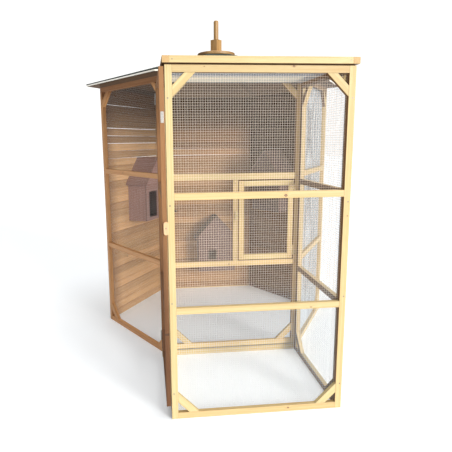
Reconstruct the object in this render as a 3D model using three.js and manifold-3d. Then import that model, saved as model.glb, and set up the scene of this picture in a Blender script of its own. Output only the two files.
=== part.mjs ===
// Walk-in bird aviary: a six-sided timber cage with a safety porch on its front side.
// Millimetres, +Z up. The front of the porch faces -Y and the part stands on Z = 0.
import * as THREE from "three";
import { ConvexGeometry } from "three/addons/geometries/ConvexGeometry.js";
import { mergeVertices } from "three/addons/utils/BufferGeometryUtils.js";
import Module from "manifold-3d";

const wasm = await Module();
wasm.setup();

// Driving sizes of the timber and of the clearances
const timber = 35;
const timberDepth = 28;
const gap = 0.3;
const overrun = 20;
const braceLeg = 114;
const braceWidth = 38;

// Driving sizes of the cage
const side = 930;
const cageHeight = 1920;
const cageLowerRail = 643;
const cageUpperRail = 1250;
const battenWidth = 45;
const battenDepth = 20;
const boardPitch = 61.5;
const boardDepth = 18;
const grooveDepth = 4;
const grooveWidth = 7;
const boardFoot = 12;

// Driving sizes of the porch
const porchWidth = 960;
const porchDepth = 806;
const porchHeight = 1863;
const porchLowerRail = 600;
const porchUpperRail = 1207;
const wallRise = 7;
const porchRearGap = 6;
const roofFrameHeight = 33;
const roofFrameLip = 15;
const roofFrameSide = 12;

// Driving sizes of the entrance door of the porch
const doorStandOff = 4;
const doorDepth = 24;
const doorFoot = 77;
const doorTopGap = 15;
const doorRearGap = 17;
const jambSill = 85;
const hingePostGap = 5;
const hingePostTail = 31;
const hingePostTopGap = 7;

// Driving sizes of the inner door and of the service door in it
const sillHeight = 38;
const innerDoorFoot = 47;
const innerDoorTopGap = 3;
const innerDoorHingeGap = 3;
const innerDoorFreeGap = 20;
const innerLowerRail = 641;
const innerUpperRail = 1240;
const innerUpperRailHeight = 44;
const mullionLeft = 442;
const mullionWidth = 34;
const serviceGap = 8;
const serviceDepth = 22;

// Driving sizes of the wire mesh panels, drawn as coarse nets
const netThickness = 2.5;
const netLap = 5;
const netWire = 7;
const netColumns = 5;
const netRows = 3;
const serviceNetRows = 5;
const roofNetRows = 5;

// Driving sizes of the hinges, latches and small metal
const barrelRadius = 4;
const leafDepth = 2;
const hingeHeight = 70;
const porchLeaf = 24;
const innerLeaf = 10;
const serviceLeaf = 22;
const hingeInset = 90;
const serviceHingeInset = 60;
const barrelSteps = 12;
const latchLength = 61;
const latchWidth = 20;
const latchDepth = 12;
const latchHeight = 967;
const buttonLength = 69;
const buttonWidth = 25;
const buttonDepth = 14;
const buttonHeight = 1032;
const buttonShift = 6;
const roundSteps = 6;
const plateLength = 54;
const plateWidth = 16;
const plateDepth = 2;
const plateHeight = 1590;
const boltLength = 60;
const boltWidth = 12;
const boltDepth = 8;
const boltHeight = 1034;
const boltInset = 3;

// Driving sizes of the roof and of the finial
const eaveReach = 100;
const roofTopRadius = 150;
const roofFootRise = 11;
const roofRise = 216;
const roofBoardDepth = 12;
const feltDepth = 3;
const feltLip = 2;
const discRadius = 150;
const discDepth = 24;
const discEdge = 5;
const discSteps = 36;
const blockWidth = 64;
const blockHeight = 103;
const blockChamfer = 5;
const dowelRadius = 19;
const dowelHeight = 145;
const dowelSteps = 20;

// Driving sizes of the nest boxes
const nestWidth = 358;
const nestEave = 347;
const nestHeight = 541;
const nestDepth = 180;
const nestBoard = 12;
const nestRoofBoard = 14;
const nestRoofReach = 30;
const nestRoofFront = 22;
const nestHole = 80;
const nestHoleTall = 100;
const nestHoleHeight = 117;
const nestHoleShift = 42;
const nestPlaces = {
  back: { along: 203, height: 227 },
  back_left: { along: 272, height: 815 },
  back_right: { along: 306, height: 862 },
};

// Sizes worked out from the driving ones
const sixth = Math.PI / 3;
const mitre = Math.tan(sixth / 2);
const apothem = side * Math.cos(sixth / 2);
const porchFront = -apothem - porchDepth;
const porchRear = -apothem - porchRearGap;
const wallHeight = porchHeight + wallRise;
const eaveRadius = side + eaveReach;
const roofFootHeight = cageHeight + roofFootRise;
const roofSlope = roofRise / (eaveRadius - roofTopRadius);
const roofHeight = roofFootHeight + roofRise;
const feltTop = roofHeight + roofBoardDepth + gap + feltDepth;
const doorFace = porchWidth / 2 + doorStandOff + doorDepth;
const doorRear = porchRear - doorRearGap;
const wallBack = battenDepth + gap + boardDepth;
const shiftY = -(porchFront - roofFrameLip + (eaveRadius + feltLip) * Math.cos(sixth / 2)) / 2;

const colours = {
  pine: 0xe9cb94,
  shade: 0xb58a56,
  boards: 0xb8946a,
  felt: 0x2c3b35,
  mesh: 0xb9b4ad,
  metal: 0xc9c4ba,
  dark: 0x3a3230,
  mauve: 0x967871,
  finial: 0xb98646,
};

const group = new THREE.Group();
group.name = "bird_aviary";
const model = new THREE.Group();
model.position.y = shiftY;
group.add(model);

function piece(parent, name, geometry, colour, roughness = 0.7, metalness = 0) {
  const material = new THREE.MeshStandardMaterial({ color: colours[colour], roughness, metalness });
  const mesh = new THREE.Mesh(geometry, material);
  mesh.name = name;
  parent.add(mesh);
  return mesh;
}

// A place on an upright plane: x runs to the right as seen from outside, y up and z outward
function upright(parent, x, y, turn) {
  const place = new THREE.Group();
  place.position.set(x, y, 0);
  place.rotation.z = turn;
  const plane = new THREE.Group();
  plane.rotation.x = Math.PI / 2;
  place.add(plane);
  parent.add(place);
  return plane;
}

// The plane of a side of the cage, numbered from the front against the clock as seen from above
function cageSide(number) {
  const angle = 4 * sixth + number * sixth;
  return upright(model, side * Math.cos(angle), side * Math.sin(angle), number * sixth);
}

function outline(points) {
  return new THREE.Shape(points.map(([x, y]) => new THREE.Vector2(x, y)));
}

function rectangle(x0, y0, x1, y1) {
  return outline([[x0, y0], [x1, y0], [x1, y1], [x0, y1]]);
}

function solid(geometry) {
  const bare = geometry.clone();
  bare.deleteAttribute("normal");
  bare.deleteAttribute("uv");
  const merged = mergeVertices(bare.index ? bare.toNonIndexed() : bare);
  const mesh = new wasm.Mesh({
    numProp: 3,
    vertProperties: new Float32Array(merged.attributes.position.array),
    triVerts: new Uint32Array(merged.index.array),
  });
  return new wasm.Manifold(mesh);
}

function unsolid(manifold) {
  const mesh = manifold.getMesh();
  const geometry = new THREE.BufferGeometry();
  geometry.setAttribute("position", new THREE.BufferAttribute(new Float32Array(mesh.vertProperties), 3));
  geometry.setIndex(new THREE.BufferAttribute(new Uint32Array(mesh.triVerts), 1));
  geometry.computeVertexNormals();
  return geometry;
}

function extruded(shapes, from, to) {
  const geometry = new THREE.ExtrudeGeometry(shapes, {
    depth: to - from,
    bevelEnabled: false,
    curveSegments: roundSteps,
  });
  geometry.translate(0, 0, from);
  return geometry;
}

// Extrudes an outline, with its holes cut through, from one depth to another, both measured outward
function plate(shape, from, to) {
  if (shape.holes.length === 0) {
    return extruded(shape, from, to);
  }
  const whole = new THREE.Shape(shape.getPoints(roundSteps));
  const cuts = shape.holes.map((hole) => new THREE.Shape(hole.getPoints(roundSteps)));
  const cutter = solid(extruded(cuts, from - overrun, to + overrun));
  return unsolid(solid(extruded(whole, from, to)).subtract(cutter));
}

// Moves the ends of a plate along x by a slope times the depth behind the outer face
function bevelEnds(geometry, width, left, right) {
  const place = geometry.attributes.position;
  for (let i = 0; i < place.count; i += 1) {
    const x = place.getX(i);
    const depth = -place.getZ(i);
    if (x < gap) {
      place.setX(i, x + left * depth);
    }
    if (x > width - gap) {
      place.setX(i, x - right * depth);
    }
  }
  geometry.computeVertexNormals();
  return geometry;
}

// The clear part of one bay, with its braced corners cut off, and the triangles behind the braces
function bayHoles({ x0, y0, x1, y1, braced }) {
  const inner = braceLeg - braceWidth * Math.SQRT2;
  const holes = [];
  const points = [];
  const corners = [
    { x: x0, y: y0, toX: 1, toY: 1, cut: braced.bottom, sideFirst: true },
    { x: x1, y: y0, toX: -1, toY: 1, cut: braced.bottom, sideFirst: false },
    { x: x1, y: y1, toX: -1, toY: -1, cut: braced.top, sideFirst: true },
    { x: x0, y: y1, toX: 1, toY: -1, cut: braced.top, sideFirst: false },
  ];
  for (const { x, y, toX, toY, cut, sideFirst } of corners) {
    const along = [x + toX * braceLeg, y];
    const aside = [x, y + toY * braceLeg];
    if (cut) {
      points.push(...(sideFirst ? [aside, along] : [along, aside]));
      holes.push(outline([[x, y], [x + toX * inner, y], [x, y + toY * inner]]));
    } else {
      points.push([x, y]);
    }
  }
  holes.push(outline(points));
  return holes;
}

// A flat timber frame. Rails are [foot, height] pairs from the lowest to the highest.
function flatFrame({ width, rails, stile = timber, depth = timberDepth, braces = true, split = null }) {
  const last = rails.length - 1;
  const shape = rectangle(0, rails[0][0], width, rails[last][0] + rails[last][1]);
  for (let i = 0; i < last; i += 1) {
    const y0 = rails[i][0] + rails[i][1];
    const y1 = rails[i + 1][0];
    const braced = { bottom: braces && i === 0, top: braces && i + 1 === last };
    if (split && split.bay === i) {
      shape.holes.push(rectangle(stile, y0, split.from, y1));
      shape.holes.push(rectangle(split.to, y0, width - stile, y1));
    } else {
      shape.holes.push(...bayHoles({ x0: stile, y0, x1: width - stile, y1, braced }));
    }
  }
  return plate(shape, -depth, 0);
}

function railsAt(feet, height = timber) {
  return feet.map((foot) => [foot, height]);
}

// A net: a thin sheet with rows of gaps in each of its fields, and a clear window or two
function netShape(bounds, fields, windows = []) {
  const shape = rectangle(bounds.x0, bounds.y0, bounds.x1, bounds.y1);
  for (const { x0, y0, x1, y1, columns, rows } of fields) {
    const stepX = (x1 - x0 - netWire) / columns;
    const stepY = (y1 - y0 - netWire) / rows;
    for (let i = 0; i < columns; i += 1) {
      for (let j = 0; j < rows; j += 1) {
        const x = x0 + netWire + i * stepX;
        const y = y0 + netWire + j * stepY;
        shape.holes.push(rectangle(x, y, x + stepX - netWire, y + stepY - netWire));
      }
    }
  }
  for (const { x0, y0, x1, y1 } of windows) {
    shape.holes.push(rectangle(x0, y0, x1, y1));
  }
  return shape;
}

// The net of a frame whose bays all hold mesh
function bayNet({ left, right, rails, columns = netColumns, rows = netRows }) {
  const fields = rails.slice(1).map(([foot], i) => {
    const y0 = rails[i][0] + rails[i][1];
    return { x0: left, y0, x1: right, y1: foot, columns, rows };
  });
  const y0 = fields[0].y0 - netLap;
  const y1 = fields[fields.length - 1].y1 + netLap;
  return netShape({ x0: left - netLap, y0, x1: right + netLap, y1 }, fields);
}

// A net lies against the inner face of its frame
function behind(shape, depth) {
  return plate(shape, -depth - gap - netThickness, -depth - gap);
}

function meshPiece(parent, name, geometry) {
  piece(parent, name, geometry, "mesh", 0.45, 0.6);
}

// A mesh side of the cage, fixed, with its two ends mitred
function meshSide(name, number) {
  const plane = cageSide(number);
  const width = side - 2 * gap;
  const rails = railsAt([0, cageLowerRail, cageUpperRail, cageHeight - timber]);
  const frame = bevelEnds(flatFrame({ width, rails }), width, mitre, mitre);
  frame.translate(gap, 0, 0);
  piece(plane, `${name}_frame`, frame, "pine");
  const sheet = bayNet({ left: timber + gap, right: side - timber - gap, rails });
  meshPiece(plane, `${name}_net`, behind(sheet, timberDepth));
}

// The section of the board walls: a groove at each joint on both faces
function boardSection() {
  const front = battenDepth + gap;
  const back = wallBack;
  const half = grooveWidth / 2;
  const outside = [];
  const inside = [];
  for (let z = boardFoot + boardPitch; z < cageHeight - boardPitch / 2; z += boardPitch) {
    outside.push([front, z - half], [front + grooveDepth, z], [front, z + half]);
    inside.push([back, z - half], [back - grooveDepth, z], [back, z + half]);
  }
  const foot = [[front, boardFoot], [back, boardFoot]];
  const top = [[back, cageHeight], [front, cageHeight]];
  return outline([...foot, ...inside, ...top, ...outside.reverse()]);
}

function boards() {
  const width = side - 2 * gap;
  const geometry = plate(boardSection(), -width, 0);
  const place = geometry.attributes.position;
  for (let i = 0; i < place.count; i += 1) {
    const depth = place.getX(i);
    const share = 1 + place.getZ(i) / width;
    const from = gap + depth * mitre;
    const to = side - gap - depth * mitre;
    place.setXYZ(i, from + share * (to - from), place.getY(i), -depth);
  }
  geometry.computeVertexNormals();
  return geometry;
}

// A rear side of the cage: upright battens and rails outside, boards inside
function boardWall(name, number) {
  const plane = cageSide(number);
  const width = side - 2 * gap;
  const feet = [0, cageLowerRail, cageUpperRail, cageHeight - battenWidth];
  const rails = railsAt(feet, battenWidth);
  const flat = flatFrame({ width, rails, stile: battenWidth, depth: battenDepth, braces: false });
  const battens = bevelEnds(flat, width, mitre, mitre);
  battens.translate(gap, 0, 0);
  piece(plane, `${name}_battens`, battens, "shade");
  piece(plane, `${name}_boards`, boards(), "boards");
}

// The lowest rail of the cage front, which stays on the ground below the inner door
function sillRail() {
  const width = side - 2 * gap;
  const rail = bevelEnds(plate(rectangle(0, 0, width, sillHeight), -timberDepth, 0), width, mitre, mitre);
  rail.translate(gap, 0, 0);
  piece(cageSide(0), "sill_rail", rail, "pine");
}

// The inner door fills the front of the cage and swings inward at its right end
const innerDoor = {
  width: side - innerDoorFreeGap - innerDoorHingeGap,
  rails: [
    [innerDoorFoot, timber],
    [innerLowerRail, timber],
    [innerUpperRail, innerUpperRailHeight],
    [cageHeight - innerDoorTopGap - timber, timber],
  ],
};
const mullionRight = mullionLeft + mullionWidth;

function innerDoorPlane() {
  return upright(model, -side / 2 + innerDoorFreeGap, -apothem, 0);
}

function innerDoorFrame() {
  const { width, rails } = innerDoor;
  const split = { bay: 1, from: mullionLeft, to: mullionRight };
  const frame = bevelEnds(flatFrame({ width, rails, split }), width, 0, mitre);
  piece(innerDoorPlane(), "inner_door_frame", frame, "pine");
}

function innerDoorNet() {
  const { width, rails } = innerDoor;
  const left = timber;
  const right = width - timber;
  const feet = rails.map(([foot]) => foot);
  const tops = rails.map(([foot, height]) => foot + height);
  const wide = { x0: left, x1: right, columns: netColumns, rows: netRows };
  const fields = [
    { ...wide, y0: tops[0], y1: feet[1] },
    { ...wide, y0: tops[1], y1: feet[2], x1: mullionLeft, columns: netRows },
    { ...wide, y0: tops[2], y1: feet[3] },
  ];
  const window = { x0: mullionRight - netLap, y0: tops[1] - netLap, x1: right, y1: feet[2] + netLap };
  const bounds = { x0: left - netLap, y0: tops[0] - netLap, x1: right + netLap, y1: feet[3] + netLap };
  meshPiece(innerDoorPlane(), "inner_door_net", behind(netShape(bounds, fields, [window]), timberDepth));
}

// The service door stands in the right-hand middle bay of the inner door
const service = {
  x0: mullionRight + serviceGap,
  x1: innerDoor.width - timber - serviceGap,
  y0: innerLowerRail + timber + serviceGap,
  y1: innerUpperRail - serviceGap,
};

function serviceDoor() {
  const plane = innerDoorPlane();
  const width = service.x1 - service.x0;
  const rails = railsAt([service.y0, service.y1 - timber]);
  const frame = flatFrame({ width, rails, depth: serviceDepth, braces: false });
  frame.translate(service.x0, 0, 0);
  piece(plane, "service_door_frame", frame, "pine");
  const field = { left: timber, right: width - timber, columns: netRows, rows: serviceNetRows };
  const mesh = behind(bayNet({ ...field, rails }), serviceDepth);
  mesh.translate(service.x0, 0, 0);
  meshPiece(plane, "service_door_net", mesh);
}

// A bar with round ends, standing on end against the outer face of a plane
function turnBar(width, length, depth) {
  const radius = width / 2;
  const straight = length / 2 - radius;
  const shape = new THREE.Shape();
  shape.absarc(0, straight, radius, 0, Math.PI, false);
  shape.absarc(0, -straight, radius, Math.PI, 2 * Math.PI, false);
  return plate(shape, gap, gap + depth);
}

function serviceLatch() {
  const bar = turnBar(latchWidth, latchLength, latchDepth);
  bar.translate(mullionRight - latchWidth / 2, latchHeight + latchLength / 2, 0);
  piece(innerDoorPlane(), "service_latch", bar, "pine");
}

function innerDoorBolt() {
  const bar = plate(rectangle(0, 0, boltLength, boltWidth), gap, gap + boltDepth);
  bar.translate(boltInset, boltHeight, 0);
  piece(innerDoorPlane(), "inner_door_bolt", bar, "dark", 0.5, 0.4);
}

// One half of a lift-off hinge, drawn in plan: a leaf against y = 0 that runs into a round barrel
function hingeHalf(leaf, direction, facing) {
  const start = Math.asin((barrelRadius - leafDepth) / barrelRadius);
  const points = [[0, 0], [direction * leaf, 0], [direction * leaf, leafDepth]];
  for (let i = 0; i < barrelSteps; i += 1) {
    const angle = (i / barrelSteps) * (1.5 * Math.PI + start) - start;
    const x = direction * barrelRadius * Math.cos(angle);
    points.push([x, barrelRadius * (1 + Math.sin(angle))]);
  }
  const half = plate(outline(points.map(([x, y]) => [x, facing * (y + gap)])), 0, (hingeHeight - gap) / 2);
  half.rotateX(Math.PI / 2);
  return half;
}

// Sets a hinge half on a plane. The upper half rides on the moving piece, the lower half stays.
function setHinge(plane, name, { leaf, direction, facing, x, height, depth, upper }) {
  const half = hingeHalf(leaf, direction, facing);
  const top = upper ? height + hingeHeight / 2 : height - gap / 2;
  half.translate(x, top, -depth);
  piece(plane, name, half, "metal", 0.35, 0.8);
}

function innerHinges() {
  const inset = (timberDepth + gap + barrelRadius) * mitre;
  const { rails, width } = innerDoor;
  const heights = [rails[0][0] + hingeInset, rails[3][0] + timber - hingeInset];
  heights.forEach((height, i) => {
    const shared = { leaf: innerLeaf, facing: -1, depth: timberDepth, height };
    const doorX = width + innerDoorHingeGap - inset;
    const onDoor = { ...shared, direction: -1, x: doorX, upper: true };
    const onCage = { ...shared, direction: 1, x: inset, upper: false };
    setHinge(innerDoorPlane(), `inner_hinge_leaf_${i + 1}`, onDoor);
    setHinge(cageSide(1), `inner_hinge_fixed_${i + 1}`, onCage);
  });
}

function serviceHinges() {
  const heights = [service.y0 + serviceHingeInset, service.y1 - serviceHingeInset];
  const x = service.x1 + serviceGap / 2;
  heights.forEach((height, i) => {
    const shared = { leaf: serviceLeaf, facing: 1, depth: 0, x, height };
    setHinge(innerDoorPlane(), `service_hinge_leaf_${i + 1}`, { ...shared, direction: -1, upper: true });
    setHinge(innerDoorPlane(), `service_hinge_fixed_${i + 1}`, { ...shared, direction: 1, upper: false });
  });
}

// The front of the porch, fixed
const porchRails = [0, porchLowerRail, porchUpperRail];

function porchFrontWall() {
  const plane = upright(model, -porchWidth / 2, porchFront, 0);
  const rails = railsAt([...porchRails, porchHeight - timber]);
  piece(plane, "porch_front_frame", flatFrame({ width: porchWidth, rails }), "pine");
  const sheet = bayNet({ left: timber, right: porchWidth - timber, rails });
  meshPiece(plane, "porch_front_net", behind(sheet, timberDepth));
}

// The side walls of the porch run from behind its front to just short of the cage
const porchSide = {
  front: porchFront + timberDepth + gap,
  width: porchRear - porchFront - timberDepth - gap,
};

function porchRightWall() {
  const plane = upright(model, porchWidth / 2, porchSide.front, Math.PI / 2);
  const rails = railsAt([...porchRails, wallHeight - timber]);
  piece(plane, "porch_right_frame", flatFrame({ width: porchSide.width, rails }), "pine");
  const sheet = bayNet({ left: timber, right: porchSide.width - timber, rails });
  meshPiece(plane, "porch_right_net", behind(sheet, timberDepth));
}

// The fixed jambs, sill and head round the entrance
function porchLeftWall() {
  const plane = upright(model, -porchWidth / 2, porchRear, -Math.PI / 2);
  const rails = [[0, jambSill], [wallHeight - timber, timber]];
  piece(plane, "porch_left_frame", flatFrame({ width: porchSide.width, rails, braces: false }), "pine");
}

// The entrance door lies over the outside of the left wall, hinged at its rear end
const porchDoor = {
  width: doorRear - porchFront,
  rails: railsAt([doorFoot, porchLowerRail, porchUpperRail, wallHeight - doorTopGap - timber]),
};

function porchDoorPlane() {
  return upright(model, -doorFace, doorRear, -Math.PI / 2);
}

function porchEntranceDoor() {
  const { width, rails } = porchDoor;
  piece(porchDoorPlane(), "porch_door_frame", flatFrame({ width, rails, depth: doorDepth }), "pine");
  const sheet = bayNet({ left: timber, right: width - timber, rails });
  meshPiece(porchDoorPlane(), "porch_door_net", behind(sheet, doorDepth));
}

function porchHinges() {
  const { rails } = porchDoor;
  const heights = [rails[0][0] + hingeInset, rails[3][0] + timber - hingeInset];
  const x = -hingePostGap / 2;
  heights.forEach((height, i) => {
    const shared = { leaf: porchLeaf, facing: 1, depth: 0, x, height };
    setHinge(porchDoorPlane(), `porch_hinge_leaf_${i + 1}`, { ...shared, direction: 1, upper: true });
    setHinge(porchDoorPlane(), `porch_hinge_fixed_${i + 1}`, { ...shared, direction: -1, upper: false });
  });
}

// The turn button and the bright plate on the front edge of the entrance door
function porchDoorFittings() {
  const edge = upright(model, -doorFace + doorDepth / 2, porchFront, 0);
  const bar = turnBar(buttonWidth, buttonLength, buttonDepth);
  bar.translate(buttonShift, buttonHeight + buttonLength / 2, 0);
  piece(edge, "porch_button", bar, "pine");
  const strip = plate(rectangle(-plateWidth / 2, 0, plateWidth / 2, plateLength), gap, gap + plateDepth);
  strip.translate(0, plateHeight, 0);
  piece(edge, "porch_door_plate", strip, "metal", 0.3, 0.9);
}

// Posts that fill the corners between the porch walls and the cage, drawn in plan
function hingePost() {
  const corner = -side / 2 - gap / Math.cos(sixth / 2);
  const wall = -porchWidth / 2 - gap;
  const start = doorRear + hingePostGap;
  const end = -apothem + hingePostTail;
  const shape = outline([
    [-doorFace, start],
    [wall, start],
    [wall, porchRear + gap],
    [corner, porchRear + gap],
    [corner, -apothem],
    [corner - hingePostTail * mitre, end],
    [-doorFace, end],
  ]);
  piece(model, "porch_hinge_post", plate(shape, 0, wallHeight - hingePostTopGap), "pine");
}

function cornerBatten() {
  const corner = side / 2 + gap / Math.cos(sixth / 2);
  const outer = porchWidth / 2;
  const shape = outline([
    [corner, porchRear + gap],
    [outer, porchRear + gap],
    [outer, -apothem + (outer - corner) / mitre],
    [corner, -apothem],
  ]);
  piece(model, "corner_batten", plate(shape, 0, wallHeight - hingePostTopGap), "pine");
}

// The flat roof of the porch: a timber frame on the side walls, and mesh between the walls
function porchRoof() {
  const half = porchWidth / 2 + roofFrameSide;
  const front = porchFront - roofFrameLip;
  const shape = rectangle(-half, front, half, porchRear);
  shape.holes.push(rectangle(-half + timber, front + timber, half - timber, porchRear - timber));
  piece(model, "porch_roof_frame", plate(shape, wallHeight, wallHeight + roofFrameHeight), "pine");
  const inner = porchWidth / 2 - timberDepth - gap;
  const near = porchSide.front + netThickness + gap;
  const bounds = { x0: -inner, y0: near, x1: inner, y1: porchRear };
  const sheet = netShape(bounds, [{ ...bounds, columns: netColumns, rows: roofNetRows }]);
  meshPiece(model, "porch_roof_net", plate(sheet, wallHeight - gap - netThickness, wallHeight - gap));
}

// A ring with six flat sides, turned from a profile of [radius at the corners, height] points
function sixSided(profile) {
  const points = profile.map(([radius, z]) => new THREE.Vector2(radius, z));
  const geometry = new THREE.LatheGeometry(points, 6, sixth / 2);
  geometry.rotateX(Math.PI / 2);
  return geometry;
}

function round(profile, steps) {
  const points = profile.map(([radius, z]) => new THREE.Vector2(radius, z));
  const geometry = new THREE.LatheGeometry(points, steps);
  geometry.rotateX(Math.PI / 2);
  return geometry;
}

// Height of the underside of the roof boards at a corner radius
function roofUnder(radius) {
  return roofFootHeight + (eaveRadius - radius) * roofSlope;
}

// The six-sided plate on top of the walls, with its top cut to the roof slope
function eavePlate() {
  const inner = side - timberDepth / Math.cos(sixth / 2);
  const foot = cageHeight + gap;
  const profile = [
    [inner, foot],
    [side, foot],
    [side, roofUnder(side) - gap],
    [inner, roofUnder(inner) - gap],
    [inner, foot],
  ];
  piece(model, "eave_plate", sixSided(profile), "shade");
}

function roofPanel(number) {
  const points = [];
  for (const radius of [eaveRadius, roofTopRadius]) {
    const y = -radius * Math.cos(sixth / 2);
    for (const x of [-radius / 2 + gap, radius / 2 - gap]) {
      for (const z of [roofUnder(radius), roofUnder(radius) + roofBoardDepth]) {
        points.push(new THREE.Vector3(x, y, z));
      }
    }
  }
  const turned = new THREE.Group();
  turned.rotation.z = number * sixth;
  model.add(turned);
  piece(turned, `roof_panel_${number + 1}`, new ConvexGeometry(points), "shade");
}

// The felt covers all six panels and the small flat at the peak
function roofFelt() {
  const lip = eaveRadius + feltLip;
  const under = roofUnder(lip) + roofBoardDepth + gap;
  const profile = [
    [0, feltTop - feltDepth],
    [roofTopRadius, feltTop - feltDepth],
    [lip, under],
    [lip, under + feltDepth],
    [roofTopRadius, feltTop],
    [0, feltTop],
  ];
  piece(model, "roof_felt", sixSided(profile), "felt", 0.9);
}

// The finial: a round disc, a square block seen corner-on, and a dowel with a round top
function finial() {
  const discFoot = feltTop + gap;
  const discTop = discFoot + discDepth;
  const rim = discRadius - discEdge;
  const disc = round([
    [0, discFoot],
    [rim, discFoot],
    [discRadius, discFoot + discEdge],
    [discRadius, discTop - discEdge],
    [rim, discTop],
    [0, discTop],
  ], discSteps);
  piece(model, "cap_disc", disc, "finial");
  const half = blockWidth / 2;
  const foot = discTop + gap;
  const top = foot + blockHeight;
  const points = [];
  for (const [reach, z] of [[half, foot], [half, top - blockChamfer], [half - blockChamfer, top]]) {
    for (const x of [-reach, reach]) {
      for (const y of [-reach, reach]) {
        points.push(new THREE.Vector3(x, y, z));
      }
    }
  }
  const turned = new THREE.Group();
  turned.rotation.z = Math.PI / 4;
  model.add(turned);
  piece(turned, "finial_block", new ConvexGeometry(points), "finial");
  const dowelFoot = top + gap;
  const shoulder = dowelFoot + dowelHeight - dowelRadius / 2;
  const profile = [[0, dowelFoot], [dowelRadius, dowelFoot]];
  for (let i = 0; i < roundSteps; i += 1) {
    const angle = (i / roundSteps) * (Math.PI / 2);
    profile.push([dowelRadius * Math.cos(angle), shoulder + (dowelRadius / 2) * Math.sin(angle)]);
  }
  profile.push([0, dowelFoot + dowelHeight]);
  piece(model, "finial_dowel", round(profile, dowelSteps), "finial");
}

// A house-shaped nest box on a board wall, with a square way in and its back open to the wall
const nestPitch = (nestHeight - nestEave) / (nestWidth / 2);
const nestRise = Math.sqrt(1 + nestPitch * nestPitch);

function houseOutline(inset) {
  const top = nestHeight - inset * nestRise;
  const eave = nestEave - inset * nestRise + inset * nestPitch;
  const right = nestWidth - inset;
  return outline([[inset, inset], [right, inset], [right, eave], [nestWidth / 2, top], [inset, eave]]);
}

function nestBody(back, front) {
  const house = solid(plate(houseOutline(0), front, back));
  const room = solid(plate(houseOutline(nestBoard), front + nestBoard, back + overrun));
  const middle = nestWidth / 2 + nestHoleShift;
  const half = nestHole / 2;
  const hole = rectangle(middle - half, nestHoleHeight, middle + half, nestHoleHeight + nestHoleTall);
  const way = solid(plate(hole, front - overrun, front + nestBoard + overrun));
  return unsolid(house.subtract(room).subtract(way));
}

// Two roof boards over the house, with an overhang at the eaves and at the front
function nestRoof(back, front) {
  const low = gap * nestRise;
  const high = low + nestRoofBoard * nestRise;
  const eave = nestEave - nestRoofReach * nestPitch;
  const shape = outline([
    [-nestRoofReach, eave + low],
    [nestWidth / 2, nestHeight + low],
    [nestWidth + nestRoofReach, eave + low],
    [nestWidth + nestRoofReach, eave + high],
    [nestWidth / 2, nestHeight + high],
    [-nestRoofReach, eave + high],
  ]);
  return plate(shape, front - nestRoofFront, back);
}

function nestBox(name, number) {
  const plane = cageSide(number);
  const { along, height } = nestPlaces[name];
  const back = -wallBack - gap;
  const front = back - nestDepth;
  const body = nestBody(back, front);
  body.translate(along, height, 0);
  piece(plane, `nest_${name}_body`, body, "mauve");
  const roof = nestRoof(back, front);
  roof.translate(along, height, 0);
  piece(plane, `nest_${name}_roof`, roof, "mauve");
}

sillRail();
meshSide("front_right", 1);
meshSide("front_left", 5);
boardWall("back_right", 2);
boardWall("back", 3);
boardWall("back_left", 4);
innerDoorFrame();
innerDoorNet();
innerHinges();
innerDoorBolt();
serviceDoor();
serviceHinges();
serviceLatch();
porchFrontWall();
porchRightWall();
porchLeftWall();
porchEntranceDoor();
porchHinges();
porchDoorFittings();
hingePost();
cornerBatten();
porchRoof();
eavePlate();
for (let number = 0; number < 6; number += 1) {
  roofPanel(number);
}
roofFelt();
finial();
nestBox("back", 3);
nestBox("back_left", 4);
nestBox("back_right", 2);

export default group;
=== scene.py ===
"""Looks of a six-sided bird aviary with a safety porch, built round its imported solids.

Sizes are in millimetres and become metres where points are made.
"""
import math
import random

import bmesh
import bpy
from mathutils import Matrix, Vector, noise


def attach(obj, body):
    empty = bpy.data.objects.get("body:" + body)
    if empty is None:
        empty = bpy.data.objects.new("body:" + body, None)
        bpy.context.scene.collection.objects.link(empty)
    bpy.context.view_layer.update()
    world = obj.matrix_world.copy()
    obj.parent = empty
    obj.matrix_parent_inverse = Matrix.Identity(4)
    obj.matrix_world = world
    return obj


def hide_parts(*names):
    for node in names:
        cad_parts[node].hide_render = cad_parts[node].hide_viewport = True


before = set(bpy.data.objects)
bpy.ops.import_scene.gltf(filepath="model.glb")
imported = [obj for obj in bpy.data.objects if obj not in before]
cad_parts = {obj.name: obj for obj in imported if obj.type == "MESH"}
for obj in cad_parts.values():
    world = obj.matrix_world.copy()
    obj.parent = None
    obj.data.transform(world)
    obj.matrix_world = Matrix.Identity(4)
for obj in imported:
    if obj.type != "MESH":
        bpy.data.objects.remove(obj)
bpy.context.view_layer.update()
rng = random.Random(7)

MM = 0.001
UP = Vector((0, 0, 1))

# Sizes that the solids have too
TIMBER, DEPTH, GAP = 35, 28, 0.3
BRACE_LEG, BRACE_WIDTH = 114, 38
SIDE, CAGE_TOP = 930, 1920
CAGE_FEET = (0, 643, 1250)
BATTEN, BATTEN_DEPTH = 45, 20
BOARD_FOOT, BOARD_PITCH, BOARD_DEPTH = 12, 61.5, 18
PORCH_WIDTH, PORCH_DEPTH, PORCH_TOP, WALL_TOP = 960, 806, 1863, 1870
PORCH_FEET = (0, 600, 1207)
PORCH_ROOF_REACH, PORCH_ROOF_SIDE, PORCH_ROOF_DEPTH = 15, 12, 33
PORCH_REAR_GAP, DOOR_SILL = 6, 85
DOOR_DEPTH, DOOR_STAND_OFF, DOOR_REAR_GAP = 24, 4, 17
DOOR_FOOT, DOOR_TOP = 77, WALL_TOP - 15
POST_TOP, POST_REACH = WALL_TOP - 7, 31
SILL = 38
INNER_LEFT, INNER_WIDTH = 20, SIDE - 23
INNER_RAILS = ((47, TIMBER), (641, TIMBER), (1240, 44), (1882, TIMBER))
MULLION = (442, 476)
SERVICE_BAY = (MULLION[1], sum(INNER_RAILS[1]), INNER_WIDTH - TIMBER, INNER_RAILS[2][0])
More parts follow.
